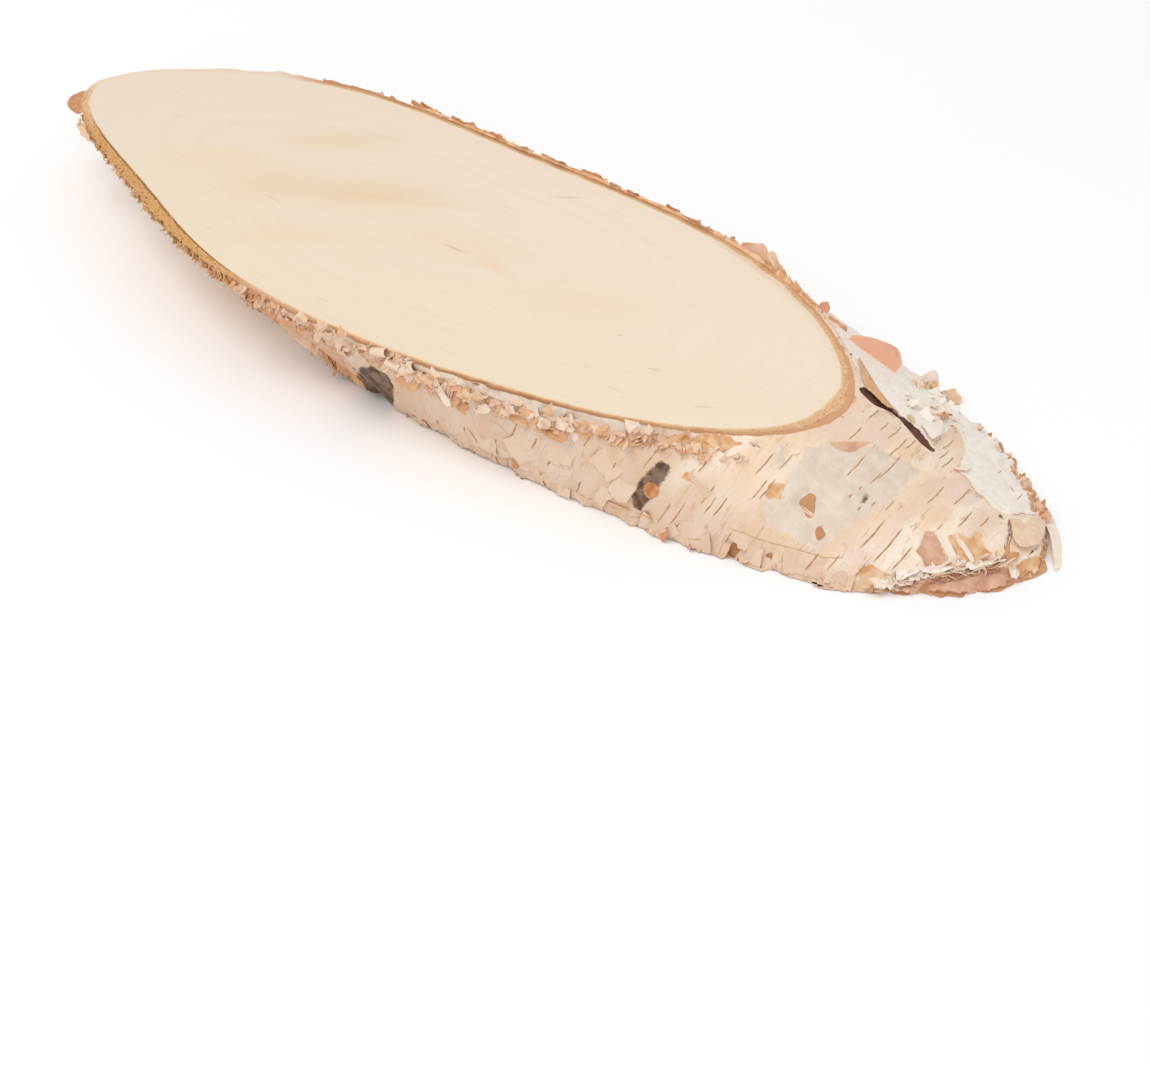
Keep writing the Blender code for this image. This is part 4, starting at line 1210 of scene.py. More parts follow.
@dataclass
class SheetSolid:
    """Points and faces of many thin curled sheets, gathered to become one mesh."""

    thick: float = 0.14 * MM
    points: list[Array] = field(default_factory=list)
    faces: list[tuple] = field(default_factory=list)
    inner: list[float] = field(default_factory=list)
    tint: list[Array] = field(default_factory=list)
    count: int = 0

    def add_sheet(self, grid: Array, tint: float, bare: bool) -> None:
        """Gathers one sheet: its grid of points gets a back, and its rim is closed."""
        rows, columns, _ = grid.shape
        normal = np.cross(np.gradient(grid, axis=1), np.gradient(grid, axis=0))
        normal /= np.maximum(np.linalg.norm(normal, axis=-1, keepdims=True), 1e-12)
        half = rows * columns
        front = [tuple(reversed(face)) for face in grid_faces(rows, columns, False, self.count)]
        behind = grid_faces(rows, columns, False, self.count + half)
        ring = [*range(columns), *(r * columns + columns - 1 for r in range(1, rows))]
        ring += [(rows - 1) * columns + c for c in range(columns - 2, -1, -1)]
        ring += [r * columns for r in range(rows - 2, 0, -1)]
        a = self.count
        rim = [(a + i, a + half + i, a + half + j, a + j) for i, j in zip(ring, ring[1:] + ring[:1])]
        self.points += [grid.reshape(-1, 3), (grid - normal * self.thick).reshape(-1, 3)]
        self.faces += front + behind + rim
        self.inner += [float(bare)] * len(front) + [float(not bare)] * len(behind) + [0.5] * len(rim)
        self.tint.append(np.full(2 * half, tint))
        self.count += 2 * half

    def finish(self, name: str, material: bpy.types.Material | None) -> bpy.types.Object:
        """Makes one object of all that was gathered."""
        thing = mesh_object(name, np.concatenate(self.points), self.faces, material)
        store(thing, "inner", np.array(self.inner), "FACE")
        store(thing, "tint", np.concatenate(self.tint))
        thing.data.set_sharp_from_angle(angle=math.radians(60.0))
        return thing


RIGHT_END = (
    # Pink flap, ochre flap beside the crack, and the two ears behind
    Flap(((35.5, 0.12), (36.0, 0.24), (36.5, 0.38)),
         ((35.8, 0.12, 1.5), (36.0, 0.20, 4.2), (36.0, 0.28, 5.2), (37.0, 0.34, 5.2), (36.5, 0.38, 3.4)),
         0.3 * MM, 1.0, 0.28, True),
    Flap(((28.0, 0.09), (25.0, 0.12), (20.5, 0.15), (16.3, 0.24)),
         ((25.0, 0.04, 0.6), (18.5, 0.02, 0.8), (15.4, 0.05, 0.8), (14.9, 0.13, 0.6), (14.9, 0.20, 0.5)),
         0.5 * MM, 0.55, 0.25, True),
    Flap(((47.5, 0.69), (54.0, 0.94)), ((48.0, 0.71, 1.6), (50.5, 0.78, 3.8), (54.0, 0.89, 3.5)), 0.3 * MM, 0.1, 0.25),
    Flap(((55.0, 0.97), (54.0, 1.05)), ((55.0, 0.99, 2.0), (54.5, 1.00, 3.7), (54.5, 1.04, 3.0)), 0.3 * MM, 0.6, 0.25),
    Flap(((34.0, 0.59), (37.0, 0.66)), ((25.5, 0.47, 0.9), (28.0, 0.55, 0.9)), 0.6 * MM, 0.75, 0.3, True),
    Flap(((18.5, 0.26), (20.5, 0.30)), ((16.0, 0.30, 0.8), (17.0, 0.31, 0.6)), 0.3 * MM, 0.3, 0.3, True),
    Flap(((19.0, 0.34), (29.0, 0.52)), ((14.3, 0.385, 0.5), (17.0, 0.42, 0.9), (20.5, 0.46, 0.7)), 1.0 * MM, 0.1, 0.1),
    Flap(((12.3, 0.50), (17.5, 0.58)), ((11.5, 0.52, 0.5), (13.0, 0.57, 0.6), (15.5, 0.60, 0.4)), 0.3 * MM, 0.2, 0.5),
    # Torn scraps on the white paper beyond the crack
    Frill(((22.0, 0.26), (26.0, 0.42), (30.0, 0.52), (36.0, 0.62), (44.0, 0.74)), 24, 200.0, 50.0,
          (2.4, 5.2), (2.0, 4.2), (8.0, 35.0), (-20.0, 60.0), (-0.2, 0.25), 0.1, 2.2),
    Frill(((38.0, 0.50), (46.0, 0.72), (56.0, 0.95)), 14, 60.0, 50.0,
          (1.6, 3.6), (1.4, 3.0), (20.0, 60.0), (-20.0, 60.0), (-0.1, 0.5), 0.3, 0.9),
    # The long sliver, the blister under it, and the white scrap beside the bared ring
    Flap(((17.5, 0.97), (21.5, 1.04)), ((2.5, 1.05, 1.3), (4.0, 1.07, 1.6)), 1.6 * MM, 0.12, 0.12),
    Flap(((9.8, 0.79), (14.0, 0.86), (18.5, 0.97)),
         ((0.0, 0.865, 1.2), (1.5, 0.91, 1.4), (4.0, 0.93, 1.2), (8.0, 0.945, 0.9)), 0.9 * MM, 0.55, 0.12),
    Flap(((357.0, 0.90), (359.0, 0.935)), ((352.8, 0.985, 1.0), (355.0, 0.98, 0.7)), 0.4 * MM, 0.15, 0.35),
    # Brown fibres at the blister's foot
    Flap(((0.5, 0.85), (2.0, 0.89)), ((355.5, 0.90, 1.2), (357.0, 0.92, 0.8)), 0.4 * MM, 0.7, 0.5, True),
    Flap(((358.5, 0.83), (1.0, 0.86)), ((353.5, 0.88, 1.0), (354.5, 0.89, 1.3)), 0.5 * MM, 0.7, 0.5, True),
    # Strips that stand between the torn triangles
    Flap(((351.8, 0.65), (353.3, 0.67)), ((346.5, 0.855, 0.7), (348.2, 0.85, 0.7)), 0.3 * MM, 0.15, 0.1),
    Flap(((354.8, 0.68), (355.8, 0.69)), ((350.4, 0.85, 0.5), (351.4, 0.85, 0.5)), 0.2 * MM, 0.2, 0.1),
)

ROLLED_LIP = (
    Flap(((342.0, 0.80), (343.5, 0.82), (347.0, 0.82), (350.3, 0.82)),
         ((339.8, 0.86, 1.2), (339.8, 0.89, 1.8), (341.6, 0.895, 1.6), (343.5, 0.885, 2.0), (347.2, 0.86, 1.4)),
         1.0 * MM, 0.0, 0.45),
    Flap(((350.6, 0.82), (353.5, 0.83), (355.5, 0.85), (357.5, 0.88)),
         ((346.5, 0.895, 2.0), (347.0, 0.915, 1.8), (349.3, 0.895, 1.5), (352.5, 0.885, 1.3), (355.0, 0.905, 1.2)),
         1.0 * MM, 0.05, 0.5),
    Flap(((337.0, 0.84), (340.5, 0.82), (342.3, 0.81)), ((333.3, 0.95, 1.2), (336.0, 0.915, 1.4), (339.8, 0.87, 1.5)),
         0.8 * MM, 0.1, 0.4),
    Flap(((330.5, 0.93), (334.5, 0.88)), ((328.5, 1.0, 1.3), (330.5, 0.99, 1.6), (333.0, 0.955, 1.2)), 0.6 * MM, 0.15, 0.4),
    Frill(((331.0, 0.95), (334.5, 0.91), (339.0, 0.88), (344.0, 0.87), (350.0, 0.865), (356.5, 0.875)), 30, 178.0, 35.0,
          (1.8, 4.2), (2.0, 4.0), (40.0, 80.0), (30.0, 170.0), (0.0, 0.15), 0.2, 0.6),
    Frill(((333.0, 0.92), (339.0, 0.865), (344.0, 0.85), (350.0, 0.845), (356.0, 0.86)), 26, 178.0, 25.0,
          (2.0, 4.4), (2.6, 4.4), (18.0, 40.0), (20.0, 80.0), (-0.1, 0.1), 0.0, 0.5, (0.4, 1.0)),
    Frill(((328.0, 0.975), (331.0, 0.955), (335.0, 0.93)), 9, 185.0, 30.0,
          (1.2, 2.8), (1.2, 2.4), (10.0, 50.0), (20.0, 120.0), (0.2, 0.7), 0.5, 0.6),
    Peel(344.0, 0.87, 175.0, 7.0 * MM, 3.0 * MM, 35.0, 120.0, 0.8, 0.0, 0.0, 0.7),
    Peel(351.0, 0.875, 170.0, 6.0 * MM, 3.0 * MM, 40.0, 120.0, 0.6, 0.0, 0.0, 0.8),
    Peel(348.0, 0.83, 190.0, 5.0 * MM, 3.5 * MM, 30.0, 90.0, 0.5, 0.0, 0.5, 0.7, True),
    Peel(355.0, 0.87, 160.0, 5.0 * MM, 3.0 * MM, 30.0, 60.0, 0.4, 0.0, 0.7, 0.7, True),
)

NEAR_SIDE = (
    # Orange flaps that hang from the torn line
    Flap(((283.0, 0.26), (288.5, 0.18)), ((279.5, 0.42, 1.0), (282.0, 0.43, 1.6), (287.5, 0.27, 1.3)), 0.6 * MM, 0.5, 1.0, True),
    Flap(((289.0, 0.26), (292.5, 0.20)), ((286.8, 0.40, 0.7), (288.5, 0.39, 1.2)), 0.4 * MM, 0.7, 0.9, True),
    Flap(((291.0, 0.29), (294.0, 0.24)), ((289.0, 0.43, 1.0), (290.5, 0.42, 1.5), (293.0, 0.33, 0.6)), 0.5 * MM, 0.65, 0.9, True),
    Flap(((304.5, 0.26), (310.0, 0.17)), ((304.3, 0.33, 1.0), (305.5, 0.36, 1.5), (308.0, 0.30, 1.2)), 0.9 * MM, 0.7, 0.6, True),
    Flap(((316.0, 0.15), (322.0, 0.13)), ((313.5, 0.28, 0.6), (316.0, 0.26, 1.0), (319.8, 0.20, 0.9)), 0.4 * MM, 0.5, 0.9, True),
    Flap(((300.5, 0.22), (303.5, 0.20)), ((299.5, 0.30, 0.6), (301.5, 0.31, 1.0), (303.0, 0.27, 0.6)), 0.3 * MM, 0.4, 0.5, True),
    Flap(((310.5, 0.16), (314.0, 0.13)), ((311.0, 0.23, 0.6), (312.5, 0.24, 0.8), (314.5, 0.18, 0.5)), 0.3 * MM, 0.5, 0.5, True),
    Flap(((326.0, 0.12), (332.0, 0.10)), ((325.0, 0.18, 0.7), (328.0, 0.19, 0.9), (331.5, 0.14, 0.6)), 0.3 * MM, 0.55, 0.5, True),
    # Small torn pieces all along the band
    Frill(((285.0, 0.07), (291.0, 0.17), (298.0, 0.15), (306.0, 0.18), (314.0, 0.14), (322.0, 0.13), (333.0, 0.09)),
          120, 178.0, 40.0, (1.2, 3.6), (1.5, 4.2), (8.0, 45.0), (-30.0, 170.0), (0.0, 0.5), 0.5, 1.2),
    Frill(((275.0, 0.04), (280.0, 0.05), (285.0, 0.08), (290.0, 0.10)), 22, 175.0, 40.0,
          (1.5, 3.5), (2.0, 4.0), (15.0, 50.0), (60.0, 300.0), (0.0, 0.6), 0.6, 1.3),
    Frill(((269.0, 0.97), (285.0, 0.975), (303.0, 0.975), (320.0, 0.97), (333.0, 0.97)), 45, 180.0, 60.0,
          (0.9, 2.2), (0.7, 1.4), (0.0, 30.0), (-20.0, 60.0), (0.1, 0.5), 0.2, 0.5),

    # Rolled cream shavings
    Peel(287.0, 0.05, 165.0, 4.5 * MM, 7.0 * MM, 30.0, 480.0, 0.9, 0.0, 0.3, 0.35, True),
    Peel(286.5, 0.14, 190.0, 4.0 * MM, 7.0 * MM, 35.0, 520.0, 0.8, 0.0, 0.25, 0.35, True),
    Peel(289.5, 0.12, 150.0, 5.0 * MM, 8.0 * MM, 30.0, 500.0, 0.9, 0.0, 0.3, 0.35, True),
    Peel(290.0, 0.18, 200.0, 4.5 * MM, 6.0 * MM, 30.0, 430.0, 0.8, 0.0, 0.25, 0.4, True),
    Peel(292.0, 0.16, 110.0, 2.4 * MM, 7.0 * MM, 35.0, -30.0, 0.9, 0.4 * MM, 0.05, 0.2),
    Peel(295.0, 0.28, 60.0, 2.2 * MM, 5.5 * MM, 35.0, -40.0, 0.8, 0.4 * MM, 0.1, 0.2),
    Peel(297.0, 0.17, 190.0, 4.0 * MM, 5.0 * MM, 40.0, 260.0, 0.6, 0.0, 0.2, 0.5, True),
    Peel(299.5, 0.14, 150.0, 4.0 * MM, 4.0 * MM, 40.0, 200.0, 0.5, 0.0, 0.3, 0.5, True),
    Peel(302.0, 0.17, 70.0, 1.8 * MM, 4.0 * MM, 45.0, -50.0, 0.9, 0.0, 0.2, 0.3),
    Peel(305.5, 0.20, 80.0, 3.0 * MM, 5.0 * MM, 35.0, -60.0, 0.7, 0.3 * MM, 0.1, 0.4),
    Peel(309.5, 0.15, 95.0, 2.6 * MM, 6.0 * MM, 35.0, -70.0, 0.5, 0.3 * MM, 0.05, 0.4),
    Peel(313.0, 0.08, 100.0, 3.0 * MM, 5.0 * MM, 30.0, 40.0, 0.5, 0.0, 0.1, 0.7),
    Peel(318.0, 0.18, 120.0, 2.0 * MM, 4.5 * MM, 35.0, 60.0, 0.7, 0.0, 0.15, 0.4),
    Peel(322.0, 0.10, 150.0, 3.5 * MM, 3.5 * MM, 35.0, 90.0, 0.4, 0.0, 0.2, 0.6),
    Peel(286.0, 0.80, 190.0, 3.0 * MM, 2.5 * MM, 20.0, 20.0, 0.2, 0.0, 0.8, 0.3, True),
    Peel(304.0, 0.90, 150.0, 3.0 * MM, 3.0 * MM, 20.0, 20.0, 0.2, 0.0, 0.8, 0.4, True),
)

# Sheets of the near side that overlap, and the scallops of its rim
NEAR_SHEETS = (
    Frill(((271.0, 0.50), (285.0, 0.48), (300.0, 0.50), (314.0, 0.36), (326.0, 0.34)), 16, 185.0, 28.0,
          (4.0, 8.0), (4.0, 7.0), (1.0, 6.0), (-4.0, 8.0), (0.2, 0.8), 0.0, 2.5, (0.7, 1.0), 0.3, True),
    Frill(((272.0, 0.76), (285.0, 0.74), (300.0, 0.78), (318.0, 0.76), (328.0, 0.84)), 26, 185.0, 28.0,
          (4.0, 8.0), (4.0, 7.0), (1.0, 7.0), (-6.0, 9.0), (0.2, 0.8), 0.0, 2.5, (0.7, 1.0), 0.35, True),
    Frill(((264.0, 0.90), (285.0, 0.89), (303.0, 0.89), (320.0, 0.89), (331.0, 0.92)), 50, 178.0, 12.0,
          (3.4, 6.0), (3.4, 5.2), (3.0, 13.0), (-10.0, 8.0), (0.3, 1.0), 0.05, 0.6, (0.7, 1.0), 0.3, True),
)

LEFT_SIDE = (
    # The plate's hanging fringe
    Frill(((270.0, 0.05), (264.5, 0.08), (260.0, 0.16), (256.5, 0.30), (254.0, 0.50)), 46, 185.0, 45.0,
          (1.2, 3.6), (1.5, 4.2), (15.0, 60.0), (-20.0, 240.0), (0.4, 1.0), 0.6, 1.3),
    Frill(((261.5, 0.50), (258.5, 0.68), (256.0, 0.84)), 26, 182.0, 16.0,
          (1.2, 2.8), (4.0, 8.0), (8.0, 35.0), (-25.0, 30.0), (0.55, 1.05), 0.5, 1.2, (0.05, 0.4), 0.8),
    Frill(((266.0, 0.04), (256.0, 0.03), (246.0, 0.02), (234.0, 0.015), (222.0, 0.01), (205.0, 0.0)), 90, 180.0, 45.0,
          (0.8, 2.8), (1.2, 3.4), (15.0, 70.0), (-20.0, 200.0), (0.4, 0.8), 0.8, 0.7),
    Flap(((258.0, 0.62), (257.0, 0.78)), ((254.5, 0.78, 2.2), (252.5, 0.90, 3.0), (253.5, 0.86, 2.6)), 0.4 * MM, 0.7, 1.1, True),
    Flap(((260.0, 0.66), (257.5, 0.84)), ((255.0, 0.86, 3.0), (252.5, 0.97, 3.6), (250.5, 1.02, 3.6)), 0.4 * MM, 0.7, 1.1, True),
    Flap(((262.0, 0.70), (259.0, 0.86)), ((257.0, 0.84, 1.5), (254.5, 0.98, 2.6), (256.0, 0.92, 1.5)), 0.4 * MM, 0.6, 1.1, True),
    Flap(((265.0, 0.20), (259.5, 0.48)), ((263.5, 0.26, 1.2), (260.5, 0.40, 1.8), (257.5, 0.54, 1.6)), 0.4 * MM, 0.7, 0.6),
    Flap(((259.0, 0.42), (256.5, 0.66)), ((256.5, 0.50, 1.8), (254.5, 0.64, 2.4), (254.0, 0.74, 2.2)), 0.4 * MM, 0.6, 0.7),
    Flap(((266.0, 0.08), (262.0, 0.32)), ((264.0, 0.14, 1.5), (261.5, 0.24, 2.0), (259.0, 0.38, 1.8)), 0.4 * MM, 0.9, 0.6, True),
    Peel(262.0, 0.10, 190.0, 5.0 * MM, 6.0 * MM, 30.0, 420.0, 0.8, 0.0, 0.35, 0.3, True),
    Peel(259.0, 0.14, 170.0, 4.0 * MM, 5.0 * MM, 30.0, 380.0, 0.8, 0.0, 0.5, 0.3, True),
    # The curl and the tuft at the left tip
    Flap(((190.0, 0.0), (195.0, 0.01), (199.5, 0.02)),
         ((191.0, -0.05, 1.8), (196.0, -0.10, 3.2), (199.0, -0.09, 3.8), (199.5, -0.03, 2.4)), 1.0 * MM, 0.8, 0.3),
    Flap(((206.0, -0.02), (210.0, 0.04)), ((207.5, -0.08, 3.0), (209.0, -0.07, 4.0), (210.5, 0.0, 3.0)), 0.3 * MM, 0.15, 0.7),
    # Ears of the far edge
    Frill(((62.0, 0.03), (80.0, 0.02), (100.0, 0.02), (120.0, 0.02), (140.0, 0.02)), 22, 0.0, 14.0,
          (4.0, 11.0), (0.9, 1.6), (0.0, 12.0), (-6.0, 10.0), (0.55, 0.95), 0.5, 0.2, (0.7, 1.0), 0.5),
    Flap(((51.0, -0.02), (52.5, 0.04)), ((51.5, -0.08, 1.5), (52.3, -0.06, 3.6), (52.6, -0.02, 3.4)), 0.2 * MM, 0.55, 0.2),
    Flap(((60.0, 0.02), (50.5, 0.04)), ((57.5, -0.05, 1.2), (54.0, -0.04, 2.8), (51.0, 0.0, 1.6)), 0.2 * MM, 0.65, 0.2, True),
    Flap(((46.5, 0.0), (42.5, 0.03)), ((46.0, -0.04, 1.6), (44.5, 0.0, 0.9), (42.5, 0.02, 1.1)), 0.2 * MM, 0.55, 0.6),
    Flap(((42.3, 0.05), (43.0, 0.11)), ((41.5, 0.03, 1.6), (42.5, 0.07, 2.6), (43.5, 0.12, 1.6)), 0.2 * MM, 1.0, 0.15),
    Flap(((39.5, 0.06), (40.5, 0.18)), ((39.8, 0.06, 1.0), (40.5, 0.17, 1.0)), 0.2 * MM, 0.9, 0.2, True),
)


@dataclass
class LoosePeels:
    """A group of listed peels and flaps of one part of the bark."""

    name: str
    relief: BarkRelief
    sheets: tuple[Peel | Flap | Frill, ...]
    seed: int = 100

    def build(self, material: bpy.types.Material) -> bpy.types.Object:
        """Builds the group as one mesh that follows the bark."""
        gathered = SheetSolid()
        single = []
        for number, sheet in enumerate(self.sheets):
            single += sheet.peels(self.relief, self.seed + number) if isinstance(sheet, Frill) else [sheet]
        for number, sheet in enumerate(single):
            grid = sheet.grid(self.relief, self.seed + number)
            grid[..., 2] = np.maximum(grid[..., 2], 0.25 * MM)
            # The first row runs so that the front faces away from the log
            ahead, beside = grid[-1].mean(0) - grid[0].mean(0), grid[:, -1].mean(0) - grid[:, 0].mean(0)
            outward = self.relief.side.axes(sheet.root[0][0] if isinstance(sheet, Flap) else sheet.turn, 0.5)[2]
            if np.cross(beside, ahead) @ outward < 0.0:
                grid = grid[:, ::-1]
            gathered.add_sheet(grid, sheet.tint, sheet.bare)
        return gathered.finish(self.name, material)


@dataclass
class BarkLines:
    """Thin lines that lie on the bark: lenticels, sheet edges, the dark of cracks, and painted shade and shadow."""

    relief: BarkRelief
    seed: int = 5
    spacing: float = 0.45 * MM
    groups: int = 95
    apart: float = 2.2 * MM

    def lenticels(self) -> list[tuple[Array, float, float]]:
        """The lines round the log: those seen in the picture, and the others in random groups."""
        draw = np.random.default_rng(self.seed)
        side = self.relief.side
        lines = []
        for turn, share, length, half in LENTICELS:
            around, along = side.rolled_line(((turn, share),))[0]
            ends = np.array([(-0.5, -0.02), (0.0, 0.02), (0.5, 0.0)]) * length * MM + (around, along)
            lines.append((ends, 0.72 * half * MM, 0.4))
        for _ in range(self.groups):
            turn = draw.uniform(62.0, 250.0)
            around, along = side.rolled_line(((turn, draw.uniform(0.05, 0.95)),))[0]
            for line in range(int(draw.integers(1, 5))):
                length = draw.uniform(2.5, 6.5) * MM
                middle = np.array([around + draw.uniform(-1.0, 1.0) * MM, along + line * self.apart])
                ends = middle + np.array([(-0.5, 0.0), (0.0, 0.03), (0.5, 0.0)]) * length
                lines.append((ends, draw.uniform(0.16, 0.28) * MM, 0.3))
        return lines

    def strokes(self, strokes: tuple[Stroke, ...]) -> list[tuple[Array, float, float]]:
        """Listed lines on the flattened bark."""
        return [(self.relief.side.rolled_line(s.places), s.half_width, s.ragged) for s in strokes]

    def build(self, name: str, lines: list[tuple[Array, float, float]], out: float,
              material: bpy.types.Material) -> bpy.types.Object:
        """Builds lines as low ridges on the bark, or as strips in a groove.

        Args:
            name: the object's name.
            lines: for each, its places on the flattened bark, half its width and how ragged it is.
            out: how far its middle stands out.
            material: its material.

        Returns:
            One object with all the lines.
        """
        arounds, alongs, outs, faces, start = [], [], [], [], 0
        for number, (ends, half_width, ragged) in enumerate(lines):
            length = np.concatenate([[0.0], np.cumsum(np.linalg.norm(np.diff(ends, axis=0), axis=1))])
            count = max(5, int(length[-1] / self.spacing) + 1)
            part = np.linspace(0.0, length[-1], count)
            line = np.stack([np.interp(part, length, ends[:, 0]), np.interp(part, length, ends[:, 1])], -1)
            slope = np.gradient(line, axis=0)
            beside = np.stack([-slope[:, 1], slope[:, 0]], -1) / np.linalg.norm(slope, axis=1, keepdims=True)
            line = line + beside * (half_width * ragged * Noise(number).along(part / MM, 0.5))[:, None]
            taper = np.clip(np.sin(np.pi * np.linspace(0.0, 1.0, count)) * 2.5, 0.08, 1.0)
            for row, (offset, rise) in enumerate(((-1.0, 0.0), (0.0, out), (1.0, 0.0))):
                rough = 1.0 + ragged * Noise(number + 900).along(part / MM, 1.3, 3, row)
                place = line + beside * (offset * half_width * taper * rough)[:, None]
                arounds.append(place[:, 0])
                alongs.append(place[:, 1])
                outs.append(np.full(count, rise))
            faces += grid_faces(3, count, False, start)
            start += 3 * count
        turn, share = self.relief.side.rolled_back(np.concatenate(arounds), np.concatenate(alongs))
        inside = (share > 0.015) & (share < 0.985)
        points = self.relief.surface(turn, np.clip(share, 0.0, 1.0), np.concatenate(outs) + 0.02 * MM)
        points[:, 2] = np.maximum(points[:, 2], 0.1 * MM)
        faces = [face for face in faces if inside[list(face)].all()]
        used = sorted({i for face in faces for i in face})
        number_of = {old: new for new, old in enumerate(used)}
        thing = mesh_object(name, points[used], [[number_of[i] for i in face] for face in faces], material)
        normals = np.array([p.normal for p in thing.data.polygons])
        centres = np.array([face[0] for face in faces])
        outward = self.relief.side.axes(turn[centres], share[centres])[2]
        if (normals * outward).sum() < 0.0:
            thing.data.flip_normals()
        return thing


@dataclass
class KnotEye:
    """The round corky eye in the long dark knot, a low dome with rings."""

    relief: BarkRelief
    turn: float = 311.6
    share: float = 0.55
    radius: float = 1.75 * MM
    height: float = 0.6 * MM
    around: int = 36
    rings: int = 14

    def build(self) -> bpy.types.Object:
        """Builds the dome, closed in its middle."""
        angle = np.linspace(0.0, 2.0 * np.pi, self.around, endpoint=False)
        ratio = np.linspace(1.0, 0.0, self.rings)[:, None]
        wave = 1.0 + 0.10 * Noise(71).along(np.abs(angle - np.pi), 1.2)
        level, up = ratio * wave * self.radius * np.cos(angle), ratio * wave * self.radius * np.sin(angle)
        turn, share = self.relief.side.stepped(
            np.full(level.shape, self.turn), np.full(level.shape, self.share), level, up)
        dome = self.height * (1.0 - ratio**2) + 0.10 * MM * np.cos(ratio * 15.0) - 0.05 * MM
        base = float(self.relief.height(self.turn, self.share))
        out = self.relief.side.axes(turn, share)[2]
        points = self.relief.side.point(turn, share) + out * (base + dome)[..., None]
        finish = PlainFinish("corky knot eye", 0.8, "D8996A", "B5744B", 500.0)
        thing = mesh_object("knot_eye", points.reshape(-1, 3), grid_faces(self.rings, self.around, True), finish.make())
        if np.dot(thing.data.polygons[0].normal, out[0, 0]) < 0.0:
            thing.data.flip_normals()
        return thing


@dataclass(frozen=True)
class Zone:
    """Where small repeats grow: ranges of turn and share, how many, their heading, sizes and tints."""

    turns: Place
    shares: Place
    count: int
    heading: float
    spread: float
    size: Place
    tint: Place = (0.0, 1.0)


